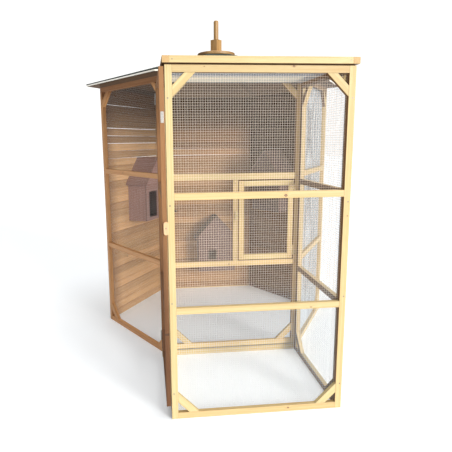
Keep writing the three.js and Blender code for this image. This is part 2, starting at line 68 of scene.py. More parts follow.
SERVICE_DEPTH, SERVICE_GAP = 22, 8
PITCH, WIRE = 12.7, 0.75
# How far in from a timber's edge its screws are
SCREW_IN = 17

SIXTH = math.pi / 3
MITRE = math.tan(SIXTH / 2)
# How far off a side's middle is, as a share of how far off its corners are
FLAT = math.cos(SIXTH / 2)
APOTHEM = SIDE * FLAT
PORCH_FRONT = -APOTHEM - PORCH_DEPTH
PORCH_REAR = -APOTHEM - PORCH_REAR_GAP
EAVE_RADIUS, TOP_RADIUS, FELT_REACH = SIDE + 100, 150, 2
ROOF_FOOT, ROOF_RISE = CAGE_TOP + 11, 216
FELT_TOP = ROOF_FOOT + ROOF_RISE + 15.3
SHIFT = -(PORCH_FRONT - PORCH_ROOF_REACH + (EAVE_RADIUS + FELT_REACH) * FLAT) / 2
DOOR_FACE = PORCH_WIDTH / 2 + DOOR_STAND_OFF + DOOR_DEPTH
DOOR_REAR = PORCH_REAR - DOOR_REAR_GAP
DOOR_WIDTH = DOOR_REAR - PORCH_FRONT
SIDE_WIDTH = PORCH_REAR - PORCH_FRONT - DEPTH - GAP


class Plane:
    """A flat place: x to the right as seen from outside, y up or up the slope, z outward."""

    def __init__(self, x, y, z, right, up=UP):
        self.origin = Vector((x, y + SHIFT, z))
        self.right = Vector(right).normalized()
        self.up = Vector(up).normalized()
        self.out = self.right.cross(self.up)

    def at(self, x, y, z=0.0):
        return (self.origin + self.right * x + self.up * y + self.out * z) * MM

    def way(self, x, y):
        return self.right * x + self.up * y

    def ways(self, grain):
        """The way that the grain runs (right, up or out), and the way across it."""
        return getattr(self, grain), self.up if grain == "right" else self.right


def upright(x, y, turn):
    return Plane(x, y, 0, (math.cos(turn), math.sin(turn), 0))


def moved(origin, right, up=UP):
    """A plane whose origin is reckoned from another plane's."""
    plane = Plane(0, 0, 0, right, up)
    plane.origin = origin
    return plane


def cage_side(number):
    angle = (4 + number) * SIXTH
    return upright(SIDE * math.cos(angle), SIDE * math.sin(angle), number * SIXTH)


INNER_DOOR = upright(-SIDE / 2 + INNER_LEFT, -APOTHEM, 0)
PORCH_FACE = upright(-PORCH_WIDTH / 2, PORCH_FRONT, 0)
PORCH_RIGHT = upright(PORCH_WIDTH / 2, PORCH_FRONT + DEPTH + GAP, math.pi / 2)
PORCH_LEFT = upright(-PORCH_WIDTH / 2, PORCH_REAR, -math.pi / 2)
PORCH_DOOR = upright(-DOOR_FACE, DOOR_REAR, -math.pi / 2)
DOOR_EDGE = upright(-DOOR_FACE + DOOR_DEPTH / 2, PORCH_FRONT, 0)
LEVEL = Plane(0, 0, 0, (1, 0, 0), (0, 1, 0))


# Materials


def add_node(tree, kind, inputs=(), **settings):
    """A new node; each input is a value, or another node's output."""
    node = tree.nodes.new(kind)
    for key, value in settings.items():
        setattr(node, key, value)
    for key, value in dict(inputs).items():
        if isinstance(value, bpy.types.NodeSocket):
            tree.links.new(value, node.inputs[key])
        else:
            node.inputs[key].default_value = value
    return node


class Nodes:
    """A material and short calls for its nodes."""

    def __init__(self, name, metallic=0.0, roughness=0.6):
        self.material = bpy.data.materials.new(name)
        self.material.use_nodes = True
        self.tree = self.material.node_tree
        self.shader = self.tree.nodes["Principled BSDF"]
        self.shader.inputs["Metallic"].default_value = metallic
        self.shader.inputs["Roughness"].default_value = roughness

    def add(self, kind, inputs=(), **settings):
        return add_node(self.tree, kind, inputs, **settings)

    def attribute(self, name):
        return self.add("ShaderNodeAttribute", attribute_name=name).outputs["Vector"]

    def vector(self, operation, a, b):
        return self.add("ShaderNodeVectorMath", {0: a, 1: b}, operation=operation).outputs[0]

    def plus(self, a, b):
        return self.math("ADD", a, b)

    def times(self, a, b):
        return self.math("MULTIPLY", a, b)

    def stretch(self, a, b):
        return self.vector("MULTIPLY", a, b)

    def towards(self, a, way):
        """How much a direction looks one way."""
        inputs = {0: a, 1: Vector(way).normalized()}
        return self.add("ShaderNodeVectorMath", inputs, operation="DOT_PRODUCT").outputs["Value"]

    def length(self, a):
        return self.add("ShaderNodeVectorMath", {0: a}, operation="LENGTH").outputs["Value"]

    def split(self, a):
        return self.add("ShaderNodeSeparateXYZ", {0: a}).outputs

    def join(self, x, y, z):
        return self.add("ShaderNodeCombineXYZ", {0: x, 1: y, 2: z}).outputs[0]

    def math(self, operation, a, b):
        return self.add("ShaderNodeMath", {0: a, 1: b}, operation=operation).outputs[0]

    def place(self):
        """Where a point is on its object."""
        return self.add("ShaderNodeTexCoord").outputs["Object"]

    def noise(self, vector, scale, detail, distortion=0.0):
        inputs = {"Vector": vector, "Scale": scale, "Detail": detail, "Distortion": distortion}
        return self.add("ShaderNodeTexNoise", inputs).outputs["Fac"]

    def steps(self, value, low, high, to_low=0.0, to_high=1.0):
        inputs = {"Value": value, 1: low, 2: high, 3: to_low, 4: to_high}
        return self.add("ShaderNodeMapRange", inputs, interpolation_type="SMOOTHSTEP").outputs[0]

    def mix(self, share, a, b, mode="MIX"):
        first, second = ((*colour, 1) if isinstance(colour, tuple) else colour for colour in (a, b))
        inputs = {0: share, 6: first, 7: second}
        return self.add("ShaderNodeMix", inputs, data_type="RGBA", blend_type=mode).outputs[2]

    def bump(self, height, strength, distance):
        inputs = {"Height": height, "Strength": strength, "Distance": distance}
        normal = self.add("ShaderNodeBump", inputs).outputs[0]
        self.tree.links.new(normal, self.shader.inputs["Normal"])

    def finish(self, colour, roughness=None):
        self.tree.links.new(colour, self.shader.inputs["Base Color"])
        if roughness is not None:
            self.tree.links.new(roughness, self.shader.inputs["Roughness"])
        return self.material


def wood(
    name, pale, band, fibre, knot, spread=0.22, rough=0.55, warm=(0.62, 0.36, 0.14),
    darker=None, shaded_faces=None, sheen=0.5,
):
    """Sawn and planed softwood: long growth bands, fine fibres, knots, duller end grain.

    Painted shade by height is low height, high height, the level at each, and the way that the shaded faces
    look, if not all.
    Painted shade by facing is the way that the browner, shaded faces look, and their colour.
    """
    n = Nodes(name)
    n.shader.inputs["Specular IOR Level"].default_value = sheen
    grain = n.attribute("grain")
    tone = n.split(n.attribute("tone"))
    own_knot = n.split(n.attribute("knot"))

    knot_size = n.math("MAXIMUM", own_knot[2], 0.0005)
    own = n.length(n.join(n.times(own_knot[0], 0.75), own_knot[1], 0.0))
    own = n.math("DIVIDE", own, knot_size)
    cell = (0.46, 0.085, 0.3)
    grid = n.vector("DIVIDE", grain, cell)
    cells = n.add("ShaderNodeTexVoronoi", {"Vector": grid, "Scale": 1.0})
    away = n.split(n.stretch(n.vector("SUBTRACT", grid, cells.outputs["Position"]), cell))
    chance = n.split(cells.outputs["Color"])
    size = n.steps(chance[0], 0.84, 1.0, 0.0001, 0.0048)
    small = n.length(n.join(n.times(away[0], 0.7), away[1], 0.0))
    near = n.math("MINIMUM", own, n.math("DIVIDE", small, size))
    ragged = n.noise(grain, 160.0, 3.0)
    near = n.plus(near, n.times(n.math("SUBTRACT", ragged, 0.5), 0.5))

    pull = n.steps(near, 0.6, 4.0, 0.012, 0.0)
    sway = n.noise(n.stretch(grain, (1.6, 11.0, 11.0)), 1.0, 2.0)
    sway = n.times(n.math("SUBTRACT", sway, 0.5), 0.022)
    parts = n.split(grain)
    bent = n.join(parts[0], n.plus(n.plus(parts[1], sway), pull), parts[2])
    bands = n.noise(n.stretch(bent, (1.1, 105.0, 60.0)), 1.0, 3.0, 0.3)
    fine = n.noise(n.stretch(bent, (16.0, 760.0, 760.0)), 1.0, 2.0)
    blotch = n.noise(n.stretch(grain, (3.0, 12.0, 12.0)), 1.0, 3.0)

    colour = n.mix(n.steps(bands, 0.42, 0.66), pale, band)
    colour = n.mix(n.steps(fine, 0.5, 0.78, 0.0, 0.55), colour, fibre)
    colour = n.mix(n.steps(blotch, 0.45, 0.75, 0.0, 0.3), colour, warm)
    level = n.plus(1.0 - spread * 0.6, n.times(tone[0], spread))
    colour = n.mix(n.times(tone[1], 0.32), colour, warm)
    colour = n.mix(1.0, colour, n.join(level, level, level), "MULTIPLY")
    colour = n.mix(n.times(tone[2], 0.7), colour, tuple(0.8 * c for c in warm))
    colour = n.mix(n.steps(near, 2.4, 0.9, 0.0, 0.25), colour, warm)
    colour = n.mix(n.steps(near, 1.08, 0.86), colour, knot)
    colour = n.mix(n.steps(near, 0.72, 0.5), colour, tuple(1.9 * c for c in knot))

    place = n.add("ShaderNodeTexCoord").outputs
    # Painted shade by height, warmer where it is darker
    if darker:
        low, high, at_low, at_high, way = darker
        height = n.plus(n.split(place["Object"])[2], n.times(sway, 6.0))
        level = n.steps(height, low, high, at_low, at_high)
        green, blue = (n.times(level, n.steps(level, 0.0, 1.0, least)) for least in (0.74, 0.56))
        share = n.steps(n.towards(place["Normal"], way), 0.2, 0.6) if way else 1.0
        colour = n.mix(share, colour, n.mix(1.0, colour, n.join(level, green, blue), "MULTIPLY"))
    # Painted shade on the faces that look away from the key light
    if shaded_faces:
        way, tint = shaded_faces
        share = n.steps(n.towards(place["Normal"], way), 0.35, 0.58)
        colour = n.mix(share, colour, n.mix(1.0, colour, tint, "MULTIPLY"))

    height = n.plus(n.times(fine, 0.6), n.times(bands, 0.4))
    n.bump(height, 0.28, 0.0006)
    return n.finish(colour, n.steps(fine, 0.3, 0.8, rough - 0.06, rough + 0.16))


def zinc(name, pale, darker, rough, metallic, low=None):
    """Zinc on steel: a soft patchwork of pale and dull, with fine scratches.

    low is the colour near the floor, painted cool light, and the heights between which it fades out.
    """
    n = Nodes(name, metallic=metallic)
    place = n.place()
    patch = n.add("ShaderNodeTexVoronoi", {"Vector": place, "Scale": 210.0}).outputs["Color"]
    cloud = n.noise(place, 42.0, 3.0)
    share = n.plus(n.times(n.split(patch)[0], 0.5), n.times(cloud, 0.5))
    scratch = n.noise(n.stretch(place, (900.0, 900.0, 60.0)), 1.0, 2.0)
    colour = n.mix(n.steps(share, 0.25, 0.75), pale, darker)
    colour = n.mix(n.steps(scratch, 0.62, 0.8, 0.0, 0.35), colour, tuple(0.5 * c for c in darker))
    if low:
        colour = n.mix(n.steps(n.split(place)[2], low[1], low[2]), low[0], colour)
    n.bump(scratch, 0.15, 0.0002)
    return n.finish(colour, n.steps(share, 0.2, 0.8, rough - 0.08, rough + 0.12))


def felt_material():
    """Mineral felt: green grit on a black base, paler where the grit is thick."""
    n = Nodes("green_felt", roughness=0.9)
    place = n.place()
    grit = n.noise(place, 950.0, 2.0)
    cloud = n.noise(place, 7.0, 4.0)
    streak = n.noise(n.stretch(place, (30.0, 30.0, 4.0)), 1.0, 3.0)
    colour = n.mix(n.steps(grit, 0.36, 0.66), (0.020, 0.026, 0.022), (0.062, 0.088, 0.068))
    colour = n.mix(n.steps(cloud, 0.35, 0.75, 0.0, 0.4), colour, (0.045, 0.060, 0.046))
    colour = n.mix(n.steps(streak, 0.5, 0.8, 0.0, 0.3), colour, (0.10, 0.11, 0.085))
    n.bump(grit, 0.6, 0.0008)
    return n.finish(colour)


def dark_paint():
    """Dark paint on metal, a little uneven."""
    n = Nodes("dark_metal", metallic=0.55, roughness=0.45)
    cloud = n.noise(n.place(), 260.0, 3.0)
    colour = n.mix(n.steps(cloud, 0.3, 0.75), (0.022, 0.019, 0.018), (0.075, 0.062, 0.055))
    n.bump(cloud, 0.2, 0.0003)
    return n.finish(colour, n.steps(cloud, 0.3, 0.7, 0.36, 0.6))


def bitumen():
    """The bare black edge of the felt."""
    n = Nodes("felt_edge", roughness=0.75)
    cloud = n.noise(n.place(), 320.0, 3.0)
    colour = n.mix(cloud, (0.012, 0.013, 0.012), (0.045, 0.048, 0.043))
    n.bump(cloud, 0.4, 0.0005)
    return n.finish(colour)


# Painted shade: faces that look left or down, away from the key light, are browner
SHADE_ON_TURNED_FACES = ((-0.8, 0.1, -0.6), (0.28, 0.18, 0.125))
PINE = wood(
    "pine", (0.645, 0.515, 0.262), (0.565, 0.42, 0.19), (0.46, 0.32, 0.133), (0.17, 0.095, 0.05),
    shaded_faces=SHADE_ON_TURNED_FACES,
)
# Painted shade under the eave: darker from 1.8 m up, and browner on faces turned from the light
CAGE_PINE = wood(
    "cage_pine", (0.64, 0.50, 0.26), (0.56, 0.40, 0.185), (0.45, 0.31, 0.13), (0.17, 0.095, 0.05),
    darker=(1.80, 1.90, 1.0, 0.42, None), shaded_faces=SHADE_ON_TURNED_FACES,
)
# Painted shade: a darker, browner copy of pine for the front-left frame, which faces away from the key light,
# darker still under the eave
SHADED_FRONT_LEFT_PINE = wood(
    "shaded_amber_pine", (0.72, 0.37, 0.155), (0.60, 0.285, 0.105), (0.47, 0.205, 0.072), (0.15, 0.07, 0.03),
    warm=(0.46, 0.22, 0.07), darker=(1.80, 1.90, 1.0, 0.5, None),
)
BUTTON_PINE = wood(
    "button_pine", (0.72, 0.45, 0.25), (0.62, 0.36, 0.18), (0.50, 0.27, 0.13), (0.15, 0.07, 0.035),
)
# Painted shade: a dark brown copy of pine for the entrance door, whose edge and outer face sit in shade,
# darker towards the floor
SHADED_DOOR_PINE = wood(
    "shaded_door_pine", (0.26, 0.125, 0.048), (0.21, 0.095, 0.036), (0.165, 0.07, 0.026), (0.07, 0.036, 0.02),
    rough=0.82, warm=(0.19, 0.08, 0.028), darker=(0.3, 1.5, 0.5, 1.1, None),
)
# Painted highlight: a pale copy of pine for the roof boards' edge along the eave, as lit from the sky
LIT_EDGE_PINE = wood(
    "lit_edge_pine", (0.90, 0.87, 0.79), (0.82, 0.78, 0.69), (0.70, 0.64, 0.54), (0.3, 0.2, 0.13),
    warm=(0.7, 0.6, 0.45),
)
# Painted shade and light: how the inner side of each rear wall's boards darkens towards the roof
WALL_SHADE = {4: (1.40, 1.90, 1.15, 0.5), 3: (1.2, 1.85, 0.76, 0.1), 2: (0.5, 1.6, 0.36, 0.1)}
BOARDS = {
    number: wood(
        f"wall_boards_{number}", (0.57, 0.35, 0.175), (0.46, 0.265, 0.125), (0.34, 0.19, 0.088),
        (0.09, 0.045, 0.024), spread=0.5, rough=0.7, sheen=0.15, warm=(0.36, 0.18, 0.085),
        darker=(*shade, -cage_side(number).out),
    )
    for number, shade in WALL_SHADE.items()
}
# Painted shade: a dark copy of pine for the roof boards, eave plate, rafters and porch packing, which sit in
# the roof's shade
SHADED_ROOF_WOOD = wood(
    "roof_wood", (0.155, 0.087, 0.042), (0.125, 0.066, 0.03), (0.095, 0.048, 0.021), (0.04, 0.02, 0.011),
    spread=0.3, rough=0.68, warm=(0.11, 0.052, 0.022),
)
NEST_WOOD = wood(
    "nest_wood", (0.31, 0.187, 0.162), (0.25, 0.14, 0.12), (0.185, 0.10, 0.085), (0.065, 0.032, 0.027),
    spread=0.28, rough=0.6, warm=(0.22, 0.118, 0.09),
)
FINIAL_WOOD = wood(
    "finial_wood", (0.46, 0.275, 0.11), (0.37, 0.205, 0.072), (0.28, 0.145, 0.048), (0.09, 0.042, 0.018),
    spread=0.2, rough=0.42, warm=(0.34, 0.17, 0.058),
)
MESH_METAL = zinc("wire_mesh", (0.66, 0.65, 0.63), (0.54, 0.53, 0.515), 0.5, 0.1)
# Painted light: a warm, pale copy of the wire for the sunlit porch front, cooler near the floor
SUNLIT_WARM_MESH = zinc(
    "sunlit_warm_wire_mesh", (0.96, 0.80, 0.66), (0.87, 0.725, 0.595), 0.5, 0.0,
    low=((0.70, 0.76, 0.80), 0.60, 0.76),
)
# Painted light: a near white copy of the wire for the sunlit front-right side
SUNLIT_COOL_MESH = zinc("sunlit_cool_wire_mesh", (0.88, 0.94, 0.98), (0.76, 0.82, 0.87), 0.5, 0.0)
# Painted shade: dark copies of the wire for the porch's right side and the porch roof, seen on their shaded
# sides
SHADED_SIDE_MESH = zinc("shaded_side_wire_mesh", (0.31, 0.335, 0.36), (0.24, 0.26, 0.285), 0.5, 0.0)
SHADED_ROOF_MESH = zinc("shaded_grey_wire_mesh", (0.36, 0.41, 0.45), (0.28, 0.32, 0.355), 0.5, 0.0)
HINGE_METAL = zinc("hinge_steel", (0.58, 0.55, 0.51), (0.44, 0.42, 0.39), 0.36, 0.5)
BRASS = zinc("brassed_steel", (0.66, 0.50, 0.27), (0.52, 0.385, 0.19), 0.4, 0.3)
SCREW_METAL = zinc("screw_steel", (0.30, 0.275, 0.25), (0.16, 0.145, 0.135), 0.42, 0.7)
DARK_METAL = dark_paint()
FELT = felt_material()
FELT_EDGE = bitumen()


# Solids


def new_object(name, data):
    thing = bpy.data.objects.new(name, data)
    bpy.context.scene.collection.objects.link(thing)
    return thing


class Work:
    """Collects small solids in one mesh, each with its own grain, tone and knot."""

    def __init__(self):
        self.points, self.faces, self.smooth = [], [], []
        self.grain, self.tone, self.knot = [], [], []

    def take(self, bm, origin, along, across, tone=None, knot=None, smooth=False):
        """Takes a solid whose grain runs along one way; knot is (along, across, radius)."""
        through = along.cross(across)
        bm.verts.index_update()
        bmesh.ops.recalc_face_normals(bm, faces=bm.faces[:])
        ends = set()
        largest = max(f.calc_area() for f in bm.faces)
        for face in bm.faces:
            if abs(face.normal.dot(along)) > 0.6 and face.calc_area() < 0.6 * largest:
                if len(face.verts) > 3 and face.calc_area() > 0.00004:
                    ends.update(v.index for v in face.verts)
        jog = (rng.uniform(0, 40), rng.uniform(0, 6), rng.uniform(0, 6))
        bright = rng.random() if tone is None else tone
        warmth = rng.random() ** 2
        spot = knot or (9, 9, 0.0)
        start = len(self.points)
        for v in bm.verts:
            away = v.co - origin
            u, w, t = away.dot(along), away.dot(across), away.dot(through)
            self.points.append(v.co.copy())
            self.grain.append((u + jog[0], w + jog[1], t + jog[2]))
            self.tone.append((bright, warmth, 1.0 if v.index in ends else 0.0))
            self.knot.append((u - spot[0] * MM, w - spot[1] * MM, spot[2] * MM))
        for face in bm.faces:
            self.faces.append([start + v.index for v in face.verts])
        self.smooth += [smooth] * len(bm.faces)
        bm.free()

    def piece(self, name, material, slot, *nodes, body="aviary"):
        """Makes the object; nodes are the solids that it takes the place of."""
        mesh = bpy.data.meshes.new(name)
        mesh.from_pydata(self.points, [], self.faces)
        mesh.polygons.foreach_set("use_smooth", self.smooth)
        for title, rows in (("grain", self.grain), ("tone", self.tone), ("knot", self.knot)):
            layer = mesh.attributes.new(title, "FLOAT_VECTOR", "POINT")
            layer.data.foreach_set("vector", [value for row in rows for value in row])
        if any(self.smooth):
            mesh.set_sharp_from_angle(angle=math.radians(40))
        mesh.materials.append(material)
        mesh.validate()
        thing = new_object(name, mesh)
        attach(thing, body)
        if nodes:
            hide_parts(*nodes)


def soften(bm, size, segments):
    """Rounds every edge between faces that meet at a clear angle."""
    bmesh.ops.recalc_face_normals(bm, faces=bm.faces[:])
    edges = [e for e in bm.edges if len(e.link_faces) == 2 and e.calc_face_angle(0) > 0.35]
    bmesh.ops.bevel(
        bm, geom=edges, offset=size * MM, segments=segments, profile=0.6, affect="EDGES", clamp_overlap=True,
    )


def circle(radius, count, turn=0.0):
    angles = [turn + i * math.tau / count for i in range(count)]
    return [(radius * math.cos(a), radius * math.sin(a)) for a in angles]


def rectangle(x0, y0, x1, y1):
    return [(x0, y0), (x1, y0), (x1, y1), (x0, y1)]


def skin(bm, loops):
    """Faces between each loop of points and the next."""
    for first, second in zip(loops, loops[1:]):
        for corners in zip(first, first[1:] + first[:1], second[1:] + second[:1], second):
            bm.faces.new(corners)


def fill_between(bm, outer, inner):
    """A flat face with a hole in it."""
    pairs = [pair for ring in (outer, inner) for pair in zip(ring, ring[1:] + ring[:1])]
    edges = [bm.edges.get(pair) or bm.edges.new(pair) for pair in pairs]
    bmesh.ops.triangle_fill(bm, use_beauty=True, use_dissolve=False, edges=edges)


def prism(ends, round_by, holes=None, segments=2):
    """A solid between two loops of points, with or without a hole between two more."""
    bm = bmesh.new()
    near, far = ([bm.verts.new(point) for point in end] for end in ends)
    if holes:
        near_hole, far_hole = ([bm.verts.new(point) for point in end] for end in holes)
        fill_between(bm, near, near_hole)
        fill_between(bm, far, far_hole)
        skin(bm, (near_hole, far_hole))
    else:
        bm.faces.new(near)
        bm.faces.new(far[::-1])
    skin(bm, (near, far))
    soften(bm, round_by, segments)
    return bm


def slab(plane, outline, z0, z1, round_by, hole=None, segments=2):
    """A solid from a flat outline. A point is (x, y) or (x, y, slope of its end with depth)."""
    ends, holes = (
        [[plane.at(x - sum(slope) * z, y, z) for x, y, *slope in points] for z in (z1, z0)]
        for points in (outline, hole or ())
    )
    return prism(ends, round_by, hole and holes, segments)


def cut(work, plane, outline, z0, z1, start, grain="right", round_by=1.1, hole=None, segments=2, **look):
    """Adds a slab whose grain starts at a point and runs right, up or out."""
    bm = slab(plane, outline, z0, z1, round_by, hole, segments)
    work.take(bm, plane.at(*start), *plane.ways(grain), **look)


def bar(work, plane, x0, y0, x1, y1, z0, z1, left=0.0, right=0.0, **look):
    """A straight timber; left and right are the slopes of its mitred ends."""
    outline = [(x0, y0, left), (x1, y0, -right), (x1, y1, -right), (x0, y1, left)]
    grain = "right" if x1 - x0 > y1 - y0 else "up"
    cut(work, plane, outline, z0, z1, (x0, y0, z1), grain, **look)


def brace(work, plane, x, y, to_x, to_y, z0, z1):
    """A short timber across a corner of a bay, a little thinner than the frame."""
    clear, behind, in_front = 0.4, 1.5, 0.8
    inner = BRACE_LEG - BRACE_WIDTH * math.sqrt(2)
    x, y = x + to_x * clear, y + to_y * clear
    outline = [
        (x + to_x * BRACE_LEG, y), (x, y + to_y * BRACE_LEG), (x, y + to_y * inner), (x + to_x * inner, y),
    ]
    bm = slab(plane, outline, z0 + behind, z1 - in_front, 1.0)
    along = plane.way(to_x, -to_y).normalized()
    work.take(bm, plane.at(x, y, z1), along, plane.out.cross(along))


def turned(work, plane, x, y, z, profile, sides, grain="right"):
    """A smooth round solid that stands out from a plane, from (radius, height) points."""
    bm = bmesh.new()
    loops = [
        [bm.verts.new(plane.at(x + a, y + b, z + height)) for a, b in circle(radius, sides)]
        for radius, height in profile
    ]
    skin(bm, loops)
    bm.faces.new(loops[-1])
    bm.faces.new(loops[0][::-1])
    work.take(bm, plane.at(x, y, z), *plane.ways(grain), smooth=True)


def nail(work, plane, x, y, z, radius, high=0.8):
    """A flat round nail head."""
    turned(work, plane, x, y, z, ((radius, -0.3), (radius, 0.5 * high), (0.6 * radius, high)), sides=10)


def screw(work, plane, x, y, z=0, radius=3.7):
    """A countersunk screw head with a cross cut in it."""
    turn = rng.uniform(0, math.pi / 2)
    arm, half, sides = 0.6 * radius, 0.15 * radius, 16
    bm = bmesh.new()
    cross = []
    for i in range(4):
        c, s = math.cos(turn + i * math.pi / 2), math.sin(turn + i * math.pi / 2)
        cross += [(c * a - s * b, s * a + c * b) for a, b in ((arm, -half), (arm, half), (half, half))]

    def loop(points, height):
        return [bm.verts.new(plane.at(x + a, y + b, z + height)) for a, b in points]

    sizes = ((1, -0.4), (1, 0.15), (0.8, 0.55))
    head = [loop(circle(radius * size, sides, turn), height) for size, height in sizes]
    lip, bottom = loop(cross, 0.55), loop(cross, -0.6)
    skin(bm, head)
    skin(bm, (lip, bottom))
    bm.faces.new(bottom)
    bm.faces.new(head[0][::-1])
    fill_between(bm, head[2], lip)
    work.take(bm, plane.at(x, y, z), plane.right, plane.up)


def screws(work, plane, columns, rows, z=0, radius=3.7):
    for x in columns:
        for y in rows:
            screw(work, plane, x, y, z, radius)


def screw_piece(name, body, *groups):
    """A piece of screws; a group is what screws() takes after its work."""
    heads = Work()
    for group in groups:
        screws(heads, *group)
    heads.piece(name, SCREW_METAL, "hinge_steel", body=body)


# Frames and mesh


def timber_frame(
    work, plane, width, rails, stile=TIMBER, depth=DEPTH, x0=0.0, braces=True, split=None,
    left=0.0, right=0.0, knots=(),
):
    """Stiles at both ends, rails between them and braces in the outer corners."""
    joint, inset = 0.25, 0.4
    knots = dict(knots)
    foot, top, x1 = rails[0][0], sum(rails[-1]), x0 + width
    bar(work, plane, x0, foot, x0 + stile, top, -depth, 0, left=left, knot=knots.get("left"))
    bar(work, plane, x1 - stile, foot, x1, top, -depth, 0, right=right, knot=knots.get("right"))
    inner0, inner1 = x0 + stile + joint, x1 - stile - joint
    for i, (y, height) in enumerate(rails):
        bar(work, plane, inner0, y, inner1, y + height, -depth + inset, -inset, knot=knots.get(i))
    if split:
        y0, y1 = sum(rails[split]) + joint, rails[split + 1][0] - joint
        bar(work, plane, x0 + MULLION[0], y0, x0 + MULLION[1], y1, -depth + inset, -inset)
    if braces:
        low, high = sum(rails[0]), rails[-1][0]
        for x, to_x in ((x0 + stile, 1), (x1 - stile, -1)):
            brace(work, plane, x, low, to_x, 1, -depth, 0)
            brace(work, plane, x, high, to_x, -1, -depth, 0)


def tube(work, points, radius, side_way):
    """A thin four-sided wire through points, flat across its ends."""
    start = len(work.points)
    count = len(points)
    for i, point in enumerate(points):
        ahead = points[min(i + 1, count - 1)] - points[max(i - 1, 0)]
        a = ahead.cross(side_way).normalized()
        b = side_way.normalized()
        for c, s in ((1, 0), (0, 1), (-1, 0), (0, -1)):
            work.points.append(point + (a * c + b * s) * radius)
        for rows in (work.grain, work.tone, work.knot):
            rows += [(0.0, 0.0, 0.0)] * 4
    for i in range(count - 1):
        for k in range(4):
            a, b = start + 4 * i + k, start + 4 * i + (k + 1) % 4
            work.faces.append([a, b, b + 4, a + 4])
    last = start + 4 * (count - 1)
    work.faces += [[start + 3, start + 2, start + 1, start], [last, last + 1, last + 2, last + 3]]
    work.smooth += [False] * (4 * (count - 1) + 2)


def arch(value, low, high):
    return math.sin(math.pi * (value - low) / (high - low))


def wire_sheet(work, plane, bounds, bays, z, thick, windows=()):
    """Welded mesh: upright wires in front, level wires welded behind, bulged a little in each bay."""
    x0, y0, x1, y1 = bounds
    radius = thick / 2
    step, shortest = 95, 2
    swell = [rng.uniform(-2.2, 2.2) for _ in bays]

    def place(x, y, layer):
        bulge = 0.0
        for (low, high), amount in zip(bays, swell):
            if low < y < high:
                bulge = amount * arch(y, low, high) * arch(x, x0, x1)
        drift = 0.5 * noise.noise(Vector((x / 190, y / 190, z + 3.7)))
        return plane.at(x + drift, y + 0.7 * drift, z - radius - layer * thick * 0.82 + bulge)

    def runs(fixed, low, high, is_upright):
        """Parts of a wire between its ends that no window takes out."""
        spans = [(low, high)]
        for wx0, wy0, wx1, wy1 in windows:
            a0, a1, b0, b1 = (wx0, wx1, wy0, wy1) if is_upright else (wy0, wy1, wx0, wx1)
            if a0 < fixed < a1:
                parts = [(start, min(end, b0)) for start, end in spans]
                parts += [(max(start, b1), end) for start, end in spans]
                spans = [(start, end) for start, end in parts if end - start > shortest]
        return spans

    def wire(start, end, fixed, is_upright):
        count = max(2, round((end - start) / step) + 1)
        stops = [start + (end - start) * i / (count - 1) for i in range(count)]
        points = [place(fixed, stop, 0) if is_upright else place(stop, fixed, 1) for stop in stops]
        tube(work, points, radius * MM, plane.out)

    for is_upright, (a0, a1), (b0, b1) in ((True, (x0, x1), (y0, y1)), (False, (y0, y1), (x0, x1))):
        count = int((a1 - a0 - WIRE) / PITCH)
        spare = (a1 - a0 - count * PITCH) / 2
        for i in range(count + 1):
            fixed = a0 + spare + i * PITCH
            for low, high in runs(fixed, b0, b1, is_upright):
                wire(low, high, fixed, is_upright)


def staples(work, plane, bounds, rails, z):
    """Staples that hold a mesh to the inner face of its frame."""
    x0, y0, x1, y1 = bounds
    half, prong, crown, narrow, radius = 5.0, 2.2, 2.6, 0.9, 0.6
    places = []
    y = y0 + 40
    while y < y1 - 30:
        for x in (x0 - 5, x1 + 5):
            places.append((x + rng.uniform(-2, 2), y, rng.uniform(-0.3, 0.3)))
        y += rng.uniform(105, 135)
    for height in rails:
        x = x0 + 60
        while x < x1 - 40:
            places.append((x, height + rng.uniform(-3, 3), math.pi / 2 + rng.uniform(-0.3, 0.3)))
            x += rng.uniform(115, 150)
    for x, y, turn in places:
        c, s = half * math.cos(turn), half * math.sin(turn)
        points = [
            plane.at(x + share * c, y + share * s, z + height)
            for share, height in ((-1, prong), (-narrow, -crown), (narrow, -crown), (1, prong))
        ]
        tube(work, points, radius * MM, plane.way(-s, c).normalized())


def net_piece(name, body, plane, rails, left, right, depth, windows=(), lap=14, thick=WIRE, metal=MESH_METAL):
    """The mesh of one frame, stapled behind its rails."""
    low, high = sum(rails[0]), rails[-1][0]
    bays = [(sum(under), over[0]) for under, over in zip(rails, rails[1:])]
    lines = [low - 7, high + 7]
    if not windows:
        lines += [foot + height / 2 for foot, height in rails[1:-1]]
    work = Work()
    bounds = (left - lap, low - lap, right + lap, high + lap)
    wire_sheet(work, plane, bounds, bays, -depth - GAP, thick, windows)
    staples(work, plane, (left, low, right, high), lines, -depth - GAP)
    work.piece(name + "_wires", metal, "wire_mesh", name, body=body)


def panel(name, body, plane, width, rails, pine=PINE, depth=DEPTH, x0=0.0, net=None, **shape):
    """A timber frame and, where its net is described, the mesh behind it."""
    work = Work()
    timber_frame(work, plane, width, rails, depth=depth, x0=x0, **shape)
    work.piece(name + "_timber", pine, "pine", name + "_frame", body=body)
    if net:
        net_piece(name + "_net", body, plane, rails, x0 + TIMBER, x0 + width - TIMBER, depth, **net)


def even(feet, height=TIMBER):
    return [(foot, height) for foot in feet]


def cage_front(name, number, pine, net, knots):
    plane = cage_side(number)
    rails = even((*CAGE_FEET, CAGE_TOP - TIMBER))
    width = SIDE - 2 * GAP
    panel(name, "aviary", plane, width, rails, pine, x0=GAP, net=net, left=MITRE, right=MITRE, knots=knots)
    heads = Work()
    for x in (14, SIDE - 14):
        for y in (27, 118, 616, 705, 1223, 1312, 1798, 1893):
            screw(heads, plane, x, y + rng.uniform(-3, 3))
    heads.piece(name + "_screws", SCREW_METAL, "hinge_steel")


